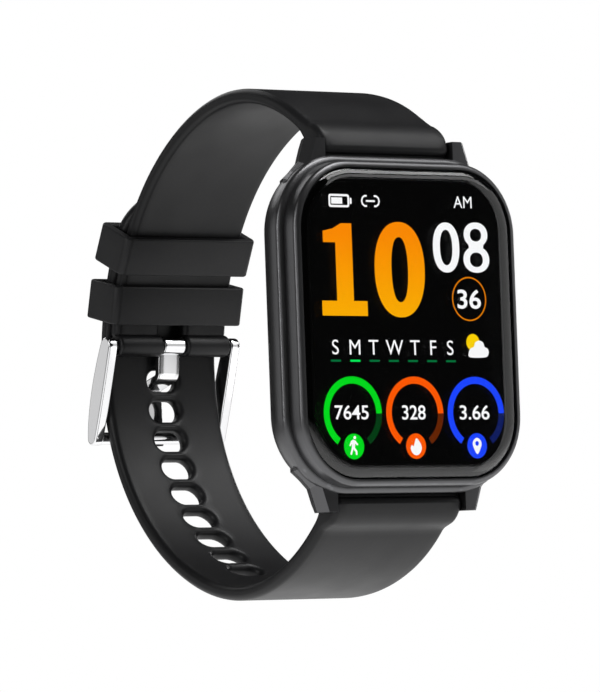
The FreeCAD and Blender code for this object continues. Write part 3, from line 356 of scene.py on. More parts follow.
def bake(item, name):
    """Turns an object and its modifiers or node tree into one plain mesh object."""
    bpy.context.view_layer.update()
    depsgraph = bpy.context.evaluated_depsgraph_get()
    data = bpy.data.meshes.new_from_object(item.evaluated_get(depsgraph), depsgraph=depsgraph)
    data.name = name
    data.transform(item.matrix_world)
    bpy.data.objects.remove(item)
    return add_object(name, data)


def join_pieces(name, pieces):
    """Joins several mesh objects into one, keeping their materials."""
    bpy.ops.object.select_all(action="DESELECT")
    for item in pieces:
        item.select_set(True)
    bpy.context.view_layer.objects.active = pieces[0]
    bpy.ops.object.join()
    pieces[0].select_set(False)
    pieces[0].name = name
    pieces[0].data.name = name
    return pieces[0]


def even_out(item):
    """Cleans a piece from a node tree, drops the tree's own attributes and shades it smooth."""
    clean_mesh(item.data)
    for label in ("side", "drop"):
        if label in item.data.attributes:
            item.data.attributes.remove(item.data.attributes[label])
    item.data.shade_smooth()
    return item


def install(piece, body, slot, *nodes):
    """Lets a piece ride on its body and stand for its frame nodes."""
    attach(piece, body)
    if nodes:
        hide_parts(*nodes)


def round_edges(item, width):
    """Rounds the sharp edges and evens out the shading of the flat faces."""
    modifier = item.modifiers.new("round_edges", "BEVEL")
    modifier.width = width
    modifier.segments = 4
    modifier.limit_method = "ANGLE"
    modifier.angle_limit = math.radians(35)
    even = item.modifiers.new("even_shading", "WEIGHTED_NORMAL")
    even.keep_sharp = True
    return bake(item, item.name)


def rounded_rectangle(width, height, corner, steps=16):
    """A closed loop of (x, z) points, anticlockwise from the right."""
    loop = []
    for centre_x, centre_z, start in ((1, 1, 0), (-1, 1, 90), (-1, -1, 180), (1, -1, 270)):
        for step in range(steps + 1):
            angle = math.radians(start + 90 * step / steps)
            loop.append((centre_x * (width / 2 - corner) + corner * math.cos(angle),
                         centre_z * (height / 2 - corner) + corner * math.sin(angle)))
    return loop


def stack_loops(name, loops, material):
    """A solid skinned over a list of closed loops of equal length, with both ends closed."""
    count = len(loops[0])
    points = [tuple(point) for loop in loops for point in loop]
    faces = []
    for level in range(len(loops) - 1):
        for index in range(count):
            following = (index + 1) % count
            faces.append((level * count + index, level * count + following,
                          (level + 1) * count + following, (level + 1) * count + index))
    faces.append(tuple(range(count)))
    faces.append(tuple((len(loops) - 1) * count + index for index in range(count)))
    data = bpy.data.meshes.new(name)
    data.from_pydata(points, [], faces)
    clean_mesh(data)
    data.shade_smooth()
    return add_object(name, data, material)


# --- Geometry node helpers -------------------------------------------------------------------


class Tree:
    """A geometry node tree built in steps, with named inputs for its sizes."""

    def __init__(self, name, inputs, takes_geometry=False):
        self.group = bpy.data.node_groups.new(name, "GeometryNodeTree")
        self.sockets = {}
        if takes_geometry:
            self.group.interface.new_socket("Geometry", in_out="INPUT", socket_type="NodeSocketGeometry")
        for label, kind in inputs:
            socket = self.group.interface.new_socket(label, in_out="INPUT", socket_type="NodeSocket" + kind)
            self.sockets[label] = socket.identifier
        self.group.interface.new_socket("Geometry", in_out="OUTPUT", socket_type="NodeSocketGeometry")
        self.inputs = self.group.nodes.new("NodeGroupInput").outputs

    def node(self, kind, settings=None, **values):
        """A node with its settings; an input's value is a number or another node's socket."""
        made = self.group.nodes.new(kind)
        for setting, value in (settings or {}).items():
            setattr(made, setting, value)
        for label, value in values.items():
            socket = self.find(made, label)
            if isinstance(value, bpy.types.NodeSocket):
                self.group.links.new(value, socket)
            else:
                socket.default_value = value
        return made

    @staticmethod
    def find(made, label):
        """The enabled input with that name; a number after an underscore picks by place."""
        if label.startswith("at_"):
            return made.inputs[int(label[3:])]
        wanted = label.replace("_", " ")
        return next(socket for socket in made.inputs if socket.name == wanted and socket.enabled)

    def math(self, operation, first, second):
        return self.node("ShaderNodeMath", {"operation": operation}, at_0=first, at_1=second).outputs[0]

    def vector(self, operation, first, second):
        return self.node("ShaderNodeVectorMath", {"operation": operation}, at_0=first, at_1=second).outputs[0]

    def named_value(self, label):
        """The value of a point attribute."""
        return self.node("GeometryNodeInputNamedAttribute", {"data_type": "FLOAT"}, Name=label).outputs[0]

    def rectangle(self, width, height):
        return self.node("GeometryNodeCurvePrimitiveQuadrilateral", Width=width, Height=height).outputs[0]

    def rounded(self, curve, radius, steps):
        """A curve with its corners rounded in a number of steps."""
        return self.node("GeometryNodeFilletCurve", {"mode": "POLY"}, Curve=curve, Count=steps,
                         Radius=radius).outputs[0]

    def end(self, geometry):
        """Makes instances real, sets the material and closes the tree."""
        real = self.node("GeometryNodeRealizeInstances", Geometry=geometry).outputs[0]
        painted = self.node("GeometryNodeSetMaterial", Geometry=real, Material=self.inputs["Material"])
        output = self.group.nodes.new("NodeGroupOutput")
        self.group.links.new(painted.outputs[0], output.inputs[0])

    def run(self, name, item, **values):
        """Runs the tree on an object and returns the plain mesh that it makes."""
        modifier = item.modifiers.new(self.group.name, "NODES")
        modifier.node_group = self.group
        for label, value in values.items():
            modifier[self.sockets[label.replace("_", " ")]] = value
        return bake(item, name)


def seed_mesh(name):
    """An empty mesh for a node tree that makes all its own geometry."""
    return add_object(name, bpy.data.meshes.new(name))


def guide_curve(name, points, radii=None):
    """A curve object through points, with an optional radius at each."""
    data = bpy.data.curves.new(name, "CURVE")
    data.dimensions = "3D"
    spline = data.splines.new("POLY")
    spline.points.add(len(points) - 1)
    for index, point in enumerate(points):
        spline.points[index].co = (*point, 1.0)
        if radii:
            spline.points[index].radius = radii[index]
    return add_object(name, data)


# --- Screen glass ----------------------------------------------------------------------------


def raised_loop(width, height, corner, inset, level):
    """A rounded rectangle drawn in by the inset, at a height above the wrist side."""
    return [Vector((x, -level, z)) for x, z in rounded_rectangle(width - 2 * inset, height - 2 * inset,
                                                                 corner - inset)]


glass_low, glass_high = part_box("cover_glass")
glass_width = glass_high.x - glass_low.x
glass_height = glass_high.z - glass_low.z
glass_corner = 8.4 * MM
glass_back = -glass_high.y
glass_front = -glass_low.y


def screen_glass():
    """Cover glass whose front edge falls away in a long curve all round."""
    edge_reach = 2.1 * MM
    edge_drop = 0.75 * MM
    edge_fullness = 1.15
    back_chamfer = 0.1 * MM
    flat_rim = 0.5 * MM
    steps = 12
    # the extra loops on the back and the front keep the flat faces flat in smooth shading
    places = [(back_chamfer + flat_rim, glass_back), (back_chamfer, glass_back),
              (0.0, glass_back + back_chamfer)]
    for step in range(steps + 1):
        turn = math.radians(90 * step / steps)
        places.append((edge_reach * (1 - math.cos(turn)),
                       glass_front - edge_drop * (1 - math.sin(turn) ** edge_fullness)))
    places.append((edge_reach + flat_rim, glass_front))
    loops = [raised_loop(glass_width, glass_height, glass_corner, inset, level) for inset, level in places]
    install(stack_loops("screen_glass", loops, clear_glass()), "case", "cover_glass", "cover_glass")


def screen_face():
    """The black layer that the glass is bonded to."""
    low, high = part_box("optical_adhesive")
    width = high.x - low.x
    height = high.z - low.z
    chamfer = 0.05 * MM
    loops = [raised_loop(width, height, glass_corner - 1.4 * MM, inset, level)
             for inset, level in ((0, -high.y), (0, -low.y - chamfer), (chamfer, -low.y - 0.04 * MM))]
    install(stack_loops("screen_face", loops, screen_black), "case", "clear_adhesive", "optical_adhesive")


screen_glass()
screen_face()


# --- Screen contents -------------------------------------------------------------------------

INK_LEVELS = (glass_back - 0.03 * MM, glass_back - 0.015 * MM)
INK_THICKNESS = 0.008
# the lit display stands half a millimetre off centre on the panel
PANEL_SHIFT = 0.5

white = lit("screen_white", (1.0, 1.0, 1.0))
orange = lit("screen_orange", (1.0, 0.43, 0.0), second=(1.0, 0.26, 0.0), low=1.0 * MM, high=12.0 * MM)
sun_yellow = lit("screen_yellow", (1.0, 0.66, 0.0))
thin_orange = lit("screen_thin_orange", (1.0, 0.27, 0.0), 0.9)
day_dim = lit("screen_day_dim", (0.0, 0.16, 0.04))
day_bright = lit("screen_day_bright", (0.0, 0.85, 0.1))
GAUGES = (("steps", -10.6, (0.0, 0.72, 0.012), (0.0, 0.045, 0.006)),
          ("energy", 0.0, (1.0, 0.10, 0.0), (0.13, 0.017, 0.0)),
          ("distance", 10.6, (0.011, 0.06, 1.0), (0.004, 0.011, 0.11)))


def stand_up(item, material, layer=0):
    """Turns flat artwork in millimetres to face out of the screen, at its layer's level."""
    turn = Matrix.Rotation(math.radians(90), 4, "X")
    shift = Matrix.Translation((PANEL_SHIFT * MM, -INK_LEVELS[layer], 0))
    item.data.transform(shift @ turn @ Matrix.Scale(MM, 4))
    item.data.materials.clear()
    item.data.materials.append(material)
    return item


def ink(name, outlines, material, layer=0):
    """Flat lit shapes from closed (x, z) outlines in millimetres; an inner outline leaves a hole."""
    data = bpy.data.curves.new(name, "CURVE")
    data.dimensions = "2D"
    data.fill_mode = "BOTH"
    data.extrude = INK_THICKNESS / 2
    for outline in outlines:
        spline = data.splines.new("POLY")
        spline.points.add(len(outline) - 1)
        for point, (x, z) in zip(spline.points, outline):
            point.co = (x, z, 0, 1)
        spline.use_cyclic_u = True
    return stand_up(bake(add_object(name, data), name), material, layer)


def oval(x, z, half_width, half_height, power=2.0, steps=72):
    """A closed outline centred at x and z: an ellipse, or squarer with a higher power."""
    outline = []
    for step in range(steps):
        angle = 2 * math.pi * step / steps
        across = math.copysign(abs(math.cos(angle)) ** (2 / power), math.cos(angle))
        upward = math.copysign(abs(math.sin(angle)) ** (2 / power), math.sin(angle))
        outline.append((x + half_width * across, z + half_height * upward))
    return outline


def slab(x0, z0, x1, z1, corner=0.0):
    """A rectangle's outline, with round corners if asked."""
    if not corner:
        return [(x0, z0), (x1, z0), (x1, z1), (x0, z1)]
    middle_x = (x0 + x1) / 2
    middle_z = (z0 + z1) / 2
    return [(x + middle_x, z + middle_z) for x, z in rounded_rectangle(x1 - x0, z1 - z0, corner, 6)]


def lettering(name, text, x, z, height, weight=0.0, squeeze=1.0):
    """A line of plain white type, centred at x and z, with capitals of the given height."""
    depth = 0.01
    data = bpy.data.curves.new(name, "FONT")
    data.body = text
    data.size = 1.0
    data.offset = weight
    data.extrude = depth
    item = bake(add_object(name, data), name)
    corners = [point.co for point in item.data.vertices]
    low = Vector((min(point.x for point in corners), min(point.y for point in corners), 0))
    high = Vector((max(point.x for point in corners), max(point.y for point in corners), 0))
    grow = height / (high.y - low.y)
    size = Matrix.Diagonal((grow * squeeze, grow, INK_THICKNESS / 2 / depth, 1))
    item.data.transform(size @ Matrix.Translation(-(low + high) / 2))
    item.data.transform(Matrix.Translation((x, z, 0)))
    return stand_up(item, white)


def ring_tree():
    """An arc of flat stroke round a centre, with square ends."""
    tree = Tree("ring_gauge", [("Radius", "Float"), ("Stroke", "Float"), ("Thickness", "Float"),
                               ("Start", "Float"), ("Sweep", "Float"), ("Centre", "Vector"),
                               ("Material", "Material")])
    arc = tree.node("GeometryNodeCurveArc", Resolution=72, Radius=tree.inputs["Radius"],
                    Start_Angle=tree.inputs["Start"], Sweep_Angle=tree.inputs["Sweep"])
    stroke = tree.rectangle(tree.inputs["Stroke"], tree.inputs["Thickness"])
    sweep = tree.node("GeometryNodeCurveToMesh", Curve=arc.outputs[0], Profile_Curve=stroke, Fill_Caps=True)
    upright = tree.node("GeometryNodeTransform", Geometry=sweep.outputs[0],
                        Rotation=(math.radians(90), 0, 0), Translation=tree.inputs["Centre"])
    tree.end(upright.outputs[0])
    return tree


def dash_tree():
    """A row of equal flat dashes."""
    tree = Tree("dash_row", [("Count", "Int"), ("Pitch", "Float"), ("Length", "Float"), ("Height", "Float"),
                             ("Thickness", "Float"), ("First", "Vector"), ("Material", "Material")])
    step = tree.node("ShaderNodeCombineXYZ", X=tree.inputs["Pitch"]).outputs[0]
    row = tree.node("GeometryNodeMeshLine", Count=tree.inputs["Count"], Start_Location=tree.inputs["First"],
                    Offset=step)
    size = tree.node("ShaderNodeCombineXYZ", X=tree.inputs["Length"], Y=tree.inputs["Thickness"],
                     Z=tree.inputs["Height"]).outputs[0]
    dash = tree.node("GeometryNodeMeshCube", Size=size)
    dashes = tree.node("GeometryNodeInstanceOnPoints", Points=row.outputs[0], Instance=dash.outputs[0])
    tree.end(dashes.outputs[0])
    return tree


def ring_gauges():
    """Three activity rings, each bright for most of the way and dim for the rest, over a bright disc."""
    radius = 4.45
    stroke = 0.95
    ring_level = -12.0
    disc_level = -16.37
    disc_radius = 1.7
    tree = ring_tree()
    pieces = []
    for name, x, bright, dim in GAUGES:
        for label, colour, start, sweep in (("done", bright, 0, 236), ("left", dim, -56, 56)):
            pieces.append(tree.run(
                "ring_%s_%s" % (name, label), seed_mesh("ring_seed"), Radius=radius * MM, Stroke=stroke * MM,
                Thickness=INK_THICKNESS * MM, Start=math.radians(start), Sweep=math.radians(sweep),
                Centre=((x + PANEL_SHIFT) * MM, -INK_LEVELS[0], ring_level * MM),
                Material=lit("ring_%s_%s_light" % (name, label), colour)))
        bright_light = pieces[-2].data.materials[0]
        pieces.append(ink("disc_" + name, [oval(x, disc_level, disc_radius, disc_radius)], bright_light))
    return pieces


def day_row():
    """Seven day letters over their dashes; today's dash is bright."""
    tree = dash_tree()
    pieces = []
    for index, (letter, x) in enumerate(zip("SMTWTFS", (-13.15, -9.84, -6.67, -3.07, 0.44, 3.6, 6.54))):
        pieces.append(lettering("day_%d" % index, letter, x, -3.2, 1.97))
    common = {"Length": 1.7 * MM, "Height": 0.27 * MM, "Thickness": INK_THICKNESS * MM}
    first = (-13.15 + PANEL_SHIFT) * MM
    pitch = 3.29 * MM
    for name, count, start, material, layer in (("days_row", 7, first, day_dim, 0),
                                                ("days_today", 1, first + pitch, day_bright, 1)):
        pieces.append(tree.run(name, seed_mesh("dash_seed"), Count=count, Pitch=pitch,
                               First=(start, -INK_LEVELS[layer], -5.0 * MM), Material=material, **common))
    return pieces


def clock_digits():
    """The hour in large orange digits, the minutes in white and the seconds in a ring."""
    one = [(-15.1, 0.96), (-7.42, 0.96), (-7.42, 2.94), (-9.71, 2.94), (-9.71, 13.25), (-11.5, 13.25),
           (-12.9, 12.55), (-14.6, 12.2), (-14.6, 10.7), (-12.54, 10.7), (-12.54, 2.94), (-15.1, 2.94)]
    big_zero = [oval(-1.68, 7.21, 4.3, 6.38, 2.2), oval(-1.68, 7.21, 1.42, 4.35, 2.3)]
    zero = [oval(6.49, 10.3, 2.3, 3.37, 2.2), oval(6.49, 10.3, 1.08, 2.38, 2.2)]
    eight = [eight_outline(), oval(11.71, 12.05, 0.98, 0.85, 2.2), oval(11.71, 8.72, 1.13, 0.98, 2.2)]
    ring = [oval(10.18, 3.41, 2.98, 2.98), oval(10.18, 3.41, 2.8, 2.8)]
    return [ink("digit_one", [one], orange), ink("digit_big_zero", big_zero, orange),
            ink("digit_zero", zero, white), ink("digit_eight", eight, white),
            lettering("seconds", "36", 10.16, 3.38, 2.6, 0.015, 1.24),
            ink("seconds_ring", ring, thin_orange)]


def eight_outline():
    """Two bowls, the upper one a little smaller, drawn in at the waist."""
    middle = 11.71
    steps = 24
    right = []
    for half_width, half_height, z in ((2.27, 1.78, 8.75), (2.08, 1.66, 12.1)):
        for step in range(steps + 1):
            turn = math.pi * step / steps
            right.append((middle + half_width * math.sin(turn) ** 0.9, z - half_height * math.cos(turn)))
    # the points inside the waist, where the bowls cross, are left out
    outline = [(x, z) for x, z in right if x > 12.9 or z < 7.6 or z > 13.2]
    return outline + [(2 * middle - x, z) for x, z in reversed(outline)]


def status_row():
    """Battery, link and half of the day along the top."""
    battery = [slab(-13.41, 15.38, -9.91, 17.13, 0.35), slab(-13.12, 15.67, -10.2, 16.84, 0.15)]
    link_middle = -6.29
    link_left = [(-6.9, 17.1), (-7.3, 17.1), (-7.75, 16.8), (-7.9, 16.3), (-7.75, 15.8), (-7.3, 15.5),
                 (-6.9, 15.5), (-6.9, 15.75), (-7.25, 15.75), (-7.55, 15.95), (-7.65, 16.3),
                 (-7.55, 16.65), (-7.25, 16.85), (-6.9, 16.85)]
    link_right = [(2 * link_middle - x, z) for x, z in reversed(link_left)]
    return [ink("battery_outline", battery, white),
            ink("battery_level", [slab(-12.95, 15.84, -11.1, 16.67)], white),
            ink("battery_tip", [slab(-9.83, 15.85, -9.5, 16.65)], white),
            ink("link_icon", [link_left, link_right, slab(-7.05, 16.18, -5.53, 16.42)], white),
            lettering("half_of_day", "AM", 9.65, 16.46, 1.58)]


def weather():
    """A sun behind a cloud."""
    cloud = [(9.95, -4.45), (12.6, -4.45), (13.2, -3.95), (13.1, -3.3), (12.55, -3.05), (12.3, -2.45),
             (11.6, -2.2), (10.9, -2.5), (10.65, -3.05), (10.1, -3.25), (9.75, -3.8)]
    return [ink("sun", [oval(10.55, -2.45, 1.15, 1.15)], sun_yellow),
            ink("cloud", [smooth_outline(cloud)], white, 1)]


def smooth_outline(corners, steps=6):
    """A closed curve through points."""
    count = len(corners)
    outline = []
    for index in range(count):
        before, start, end, after = (Vector(corners[(index + offset) % count]) for offset in (-1, 0, 1, 2))
        for step in range(steps):
            outline.append(tuple(catmull(before, start, end, after, step / steps)))
    return outline


def catmull(before, start, end, after, share):
    """A point between start and end on the smooth curve through four points."""
    return 0.5 * (2 * start + (end - before) * share + (2 * before - 5 * start + 4 * end - after) * share ** 2
                  + (3 * start - before - 3 * end + after) * share ** 3)


def gauge_texts():
    """Readings in the rings and the small signs under them."""
    walker = [(-10.75, -15.45), (-10.35, -15.6), (-9.9, -16.1), (-10.05, -16.25), (-10.4, -16.0),
              (-10.5, -16.5), (-10.1, -17.0), (-10.1, -17.5), (-10.35, -17.5), (-10.4, -17.1),
              (-10.75, -16.75), (-11.05, -17.5), (-11.3, -17.4), (-11.0, -16.5), (-10.95, -16.0),
              (-11.25, -16.35), (-11.4, -16.25), (-11.1, -15.65)]
    flame = [(0.1, -15.3), (0.75, -16.0), (0.95, -16.7), (0.6, -17.35), (0.0, -17.6), (-0.6, -17.35),
             (-0.95, -16.75), (-0.75, -16.2), (-0.45, -16.4), (-0.25, -15.9)]
    pin_drop = [(10.6, -17.5), (9.95, -16.55), (9.85, -15.9), (10.2, -15.45), (10.6, -15.3), (11.0, -15.45),
                (11.35, -15.9), (11.25, -16.55)]
    return [lettering("reading_steps", "7645", -10.8, -11.85, 1.91, 0.01, 1.14),
            lettering("reading_energy", "328", -0.18, -11.87, 1.93, 0.01, 1.06),
            lettering("reading_distance", "3.66", 10.38, -11.88, 1.94, 0.01, 1.18),
            ink("walker_sign", [walker], white, 1),
            ink("walker_head", [oval(-10.45, -15.2, 0.22, 0.22, steps=20)], white, 1),
            ink("flame_sign", [smooth_outline(flame)], white, 1),
            ink("place_sign", [smooth_outline(pin_drop), oval(10.6, -16.05, 0.32, 0.32, steps=20)], white, 1)]


contents = ring_gauges() + day_row() + clock_digits() + status_row() + weather() + gauge_texts()
install(join_pieces("screen_contents", contents), "case", "display_black")


# --- Strap halves ----------------------------------------------------------------------------
# Every centre here is in millimetres in the YZ plane, with angles turning from +Y to +Z.


def on_circle(centre, radius, angle):
    """The point of a circle at an angle in degrees."""
    turn = math.radians(angle)
    return centre + Vector((0, math.cos(turn), math.sin(turn))) * radius


def arc_chain(radius, start_angle, arcs):
    """Tangent arcs as (centre, radius, start, end), from the wrist circle to the case."""
    centre = WRIST_CENTRE
    chain = []
    angle = start_angle
    for new_radius, end_angle in arcs:
        if new_radius is not None:
            centre = on_circle(centre, radius - new_radius, angle)
            radius = new_radius
        chain.append((centre, radius, angle, end_angle))
        angle = end_angle
    return chain


def chain_point(chain, length):
    """The point and the outward direction at a length past the chain's start."""
    for link in chain:
        centre, radius, start, end = link
        arc = math.radians(abs(end - start)) * radius
        if length <= arc or link is chain[-1]:
            break
        length -= arc
    angle = start + math.copysign(math.degrees(length / radius), end - start)
    point = on_circle(centre, radius, angle)
    return point, (point - centre).normalized()


def chain_length(chain):
    """The length of all the arcs together."""
    return sum(math.radians(abs(end - start)) * radius for _, radius, start, end in chain)


WRIST_CENTRE = Vector((0, 3.9, -2.95))
BAND = 2.0
UPPER_MIDDLE = 38.9
LOWER_MIDDLE = UPPER_MIDDLE + BAND + 0.2
PIN_ANGLE = 5.2
PIN_CENTRE = on_circle(WRIST_CENTRE, 38.2, PIN_ANGLE)
TAIL_ANGLE = 38.5
UPPER_CHAIN = arc_chain(UPPER_MIDDLE, PIN_ANGLE + 1.2, ((None, 33.0), (33.2, 62.0), (25.0, 124.0)))
LOWER_CHAIN = arc_chain(LOWER_MIDDLE, TAIL_ANGLE, ((None, -4.0), (31.9, -65.0), (25.6, -137.0)))
HALF_ROOT = 10.9
HALF_END = 9.6
NOTCH_HALF = 2.1
ROUND = 0.85
ROOT_CORNER = 1.0
BLANK_PITCH = 0.8
# the thick root by the lugs: middle line (y, z) and half thickness, from the band in between the lugs
UPPER_ROOT = ((-2.75, 27.2, 1.08), (-3.75, 26.35, 1.35), (-4.6, 25.6, 1.75), (-5.15, 24.7, 2.2),
              (-5.3, 23.7, 2.4), (-5.3, 22.85, 2.2))
LOWER_ROOT = ((-3.75, -26.1, 1.2), (-4.35, -25.6, 1.5), (-4.9, -25.05, 1.85), (-5.2, -24.4, 2.2),
              (-5.3, -23.6, 2.4), (-5.3, -22.85, 2.2))


def middle_line(chain, root):
    """Points and half thicknesses of a strap half, from its free end to the lugs."""
    pitch = 0.7
    root_steps = 5
    length = chain_length(chain)
    count = int(length / pitch)
    line = [(chain_point(chain, length * index / count)[0], BAND / 2) for index in range(count + 1)]
    corners = [line[-6], line[-1]] + [(Vector((0, y, z)), half) for y, z, half in root]
    corners.append((2 * corners[-1][0] - corners[-2][0], corners[-1][1]))
    for before, start, end, after in zip(corners, corners[1:], corners[2:], corners[3:]):
        for step in range(1, root_steps + 1):
            share = step / root_steps
            line.append((catmull(before[0], start[0], end[0], after[0], share),
                         start[1] + (end[1] - start[1]) * share))
    return line


def measure(line):
    """Lengths along a line at each of its points."""
    lengths = [0.0]
    for (start, _), (end, _) in zip(line, line[1:]):
        lengths.append(lengths[-1] + (end - start).length)
    return lengths


def half_width(y):
    """The strap is widest by the case and tapers to the back of the wrist."""
    taper_start = -2.0
    taper_reach = 26.0
    share = min(max((y - taper_start) / taper_reach, 0.0), 1.0)
    return HALF_ROOT + (HALF_END - HALF_ROOT) * share * share * (3 - 2 * share)


def side_points(line, lengths, start, end):
    """(half width, length) pairs along one side, at every point of the line between two lengths."""
    return [(half_width(point.y), length)
            for (point, _), length in zip(line, lengths) if start < length < end]


def root_corner(side_width, end, steps=6):
    """The rounded right corner at the lugs, from the side to the end."""
    centre_x = side_width - ROOT_CORNER
    centre_length = end - ROOT_CORNER
    turns = [math.radians(90 * step / steps) for step in range(steps, -1, -1)]
    return [(centre_x + ROOT_CORNER * math.sin(turn), centre_length + ROOT_CORNER * math.cos(turn))
            for turn in turns]


def mirrored(points):
    """The same points on the other side, in the opposite order."""
    return [(-x, length) for x, length in reversed(points)]


def tail_outline(line, lengths):
    """The lower half, flat: a round tail at length 0 and square corners at the lugs."""
    reach = 8.2
    end = lengths[-1]
    turns = [math.radians(turn) for turn in range(0, 181, 6)]
    tail = [(-HALF_END * math.cos(turn), reach - reach * math.sin(turn)) for turn in turns]
    right = side_points(line, lengths, reach + 0.3, end - ROOT_CORNER - 0.3)
    right += root_corner(right[-1][0], end)
    return tail + right + mirrored(right)


def notch_outline(line, lengths):
    """The upper half, flat: a notch for the tongue at length 0, square corners at the lugs."""
    end = lengths[-1]
    depth = 3.4
    foot_radius = 1.0
    ceiling_radius = 0.9
    turns = [math.radians(turn) for turn in range(0, 91, 15)]
    right = side_points(line, lengths, foot_radius + 0.2, end - ROOT_CORNER - 0.3)
    right += root_corner(right[-1][0], end)
    side = right[0][0]
    ceiling = [(NOTCH_HALF - ceiling_radius + ceiling_radius * math.cos(turn),
                depth - ceiling_radius + ceiling_radius * math.sin(turn)) for turn in reversed(turns)]
    wall = [(NOTCH_HALF, depth - 1.2), (NOTCH_HALF, depth - 1.6)]
    lip = [(NOTCH_HALF + foot_radius - math.cos(turn), foot_radius - math.sin(turn)) for turn in turns]
    foot = [(side - foot_radius + math.sin(turn), foot_radius - math.cos(turn)) for turn in turns]
    right = ceiling + wall + lip + spaced(lip[-1], foot[0]) + foot + right
    return right + mirrored(right)


def spaced(start, end, step=0.8):
    """Points between two others, ends left out."""
    run = Vector(end) - Vector(start)
    count = max(int(run.length / step), 1)
    return [tuple(Vector(start) + run * index / count) for index in range(1, count)]


def pill(length, half_across=2.5, half_along=1.5, steps=12):
    """A hole's outline across the strap at a length along it."""
    loop = []
    for side in (1, -1):
        for step in range(steps + 1):
            turn = math.radians(-90 * side + 180 * step / steps)
            loop.append((side * (half_across - half_along) + half_along * math.cos(turn),
                         length + half_along * math.sin(turn)))
    return loop


def loop_normals(loop):
    """Unit normals to the right of travel: outwards on an anticlockwise loop."""
    count = len(loop)
    normals = []
    for index in range(count):
        run = Vector(loop[(index + 1) % count]) - Vector(loop[index - 1])
        normals.append(Vector((run.y, -run.x)).normalized())
    return normals


def inside_loop(loop, x, y):
    """Whether a place is inside a loop, by counting the edges to its right."""
    inside = False
    for (x0, y0), (x1, y1) in zip(loop, loop[1:] + loop[:1]):
        if (y0 > y) != (y1 > y) and x < (x1 - x0) * (y - y0) / (y1 - y0) + x0:
            inside = not inside
    return inside


def in_material(rims, place):
    """Whether a place is inside the outline, which is the first rim, and outside every hole."""
    outline, *holes = rims
    return inside_loop(outline, *place) and not any(inside_loop(hole, *place) for hole in holes)


def face_points(rims):
    """The points of a flat face: those on its rims, and a grid between them that keeps clear of them."""
    points = [point for rim in rims for point in rim]
    clear_squared = 0.35
    columns = 13
    length = 0.6
    while length < max(point.y for point in rims[0]):
        for column in range(-columns, columns + 1):
            spot = Vector((column * BLANK_PITCH, length))
            nearest = min((spot - point).length_squared for point in points)
            if nearest >= clear_squared and in_material(rims, spot):
                points.append(spot)
        length += BLANK_PITCH
    return points


def flat_face(rims):
    """A flat face's points and triangles, and the place of each rim point among the points."""
    edges = []
    first = 0
    for rim in rims:
        edges += [(first + index, first + (index + 1) % len(rim)) for index in range(len(rim))]
        first += len(rim)
    points, _, faces, origins, _, _ = delaunay_2d_cdt(face_points(rims), edges, [], 0, 1e-6)
    kept = []
    for face in faces:
        middle = sum((points[index] for index in face), Vector((0, 0))) / len(face)
        if in_material(rims, middle):
            kept.append(tuple(face))
    place = {source: index for index, sources in enumerate(origins) for source in sources}
    return points, kept, place


def flat_blank(name, outline, holes, ring=5):
    """A strap half cut flat: both faces, rounded rims and hole walls, in metres.

    Point attributes tell which face a point belongs to and how far below it the point lies."""
    loops = [(outline, loop_normals(outline))]
    loops += [(hole, [-normal for normal in loop_normals(hole)]) for hole in holes]
    rims = [[Vector(point) - normal * ROUND for point, normal in zip(*loop)] for loop in loops]
    points, triangles, place = flat_face(rims)
    count = len(points)
    places = [(point.x, point.y) for point in points] * 2
    sides = [1.0] * count + [-1.0] * count
    drops = [0.0] * (2 * count)
    faces = triangles + [tuple(index + count for index in reversed(face)) for face in triangles]
    first = 0
    for loop, normals in loops:
        rows = [[place[first + index] for index in range(len(loop))]]
        for side, turns in ((1.0, range(1, ring + 1)), (-1.0, range(ring, 0, -1))):
            for turn in turns:
                angle = math.radians(90 * turn / ring)
                inset = ROUND * (1 - math.sin(angle))
                rows.append(range(len(places), len(places) + len(loop)))
                places += [tuple(Vector(point) - normal * inset) for point, normal in zip(loop, normals)]
                sides += [side] * len(loop)
                drops += [ROUND * (1 - math.cos(angle))] * len(loop)
        rows.append([index + count for index in rows[0]])
        for upper, lower in zip(rows, rows[1:]):
            for index in range(len(loop)):
                following = (index + 1) % len(loop)
                faces.append((upper[index], lower[index], lower[following], upper[following]))
        first += len(loop)
    data = bpy.data.meshes.new(name)
    data.from_pydata([(x * MM, length * MM, 0.0) for x, length in places], [], faces)
    for label, values in (("side", sides), ("drop", [drop * MM for drop in drops])):
        attribute = data.attributes.new(label, "FLOAT", "POINT")
        attribute.data.foreach_set("value", values)
    return add_object(name, data)


def bend_tree():
    """Bends a flat blank: X stays, Y runs along the path, and the faces take the path's radius."""
    tree = Tree("bend_on_path", [("Path", "Object"), ("Outward", "Float"), ("Material", "Material")],
                takes_geometry=True)
    path = tree.node("GeometryNodeObjectInfo", Object=tree.inputs["Path"])
    split = tree.node("ShaderNodeSeparateXYZ", Vector=tree.node("GeometryNodeInputPosition").outputs[0])
    half = tree.node("GeometryNodeInputRadius").outputs[0]
    sample = tree.node("GeometryNodeSampleCurve", {"mode": "LENGTH", "data_type": "FLOAT"},
                       Curves=path.outputs["Geometry"], Value=half, Length=split.outputs["Y"])
    read = {socket.name: socket for socket in sample.outputs if socket.enabled}
    outward = tree.vector("CROSS_PRODUCT", (1, 0, 0), read["Tangent"])
    rise = tree.math("SUBTRACT", read["Value"], tree.named_value("drop"))
    height = tree.math("MULTIPLY", tree.named_value("side"), rise)
    height = tree.math("MULTIPLY", height, tree.inputs["Outward"])
    lift = tree.node("ShaderNodeVectorMath", {"operation": "SCALE"}, Vector=outward, Scale=height)
    across = tree.node("ShaderNodeCombineXYZ", X=split.outputs["X"]).outputs[0]
    place = tree.vector("ADD", tree.vector("ADD", read["Position"], across), lift.outputs[0])
    bent = tree.node("GeometryNodeSetPosition", Geometry=tree.inputs["Geometry"], Position=place)
    tree.end(bent.outputs[0])
    return tree


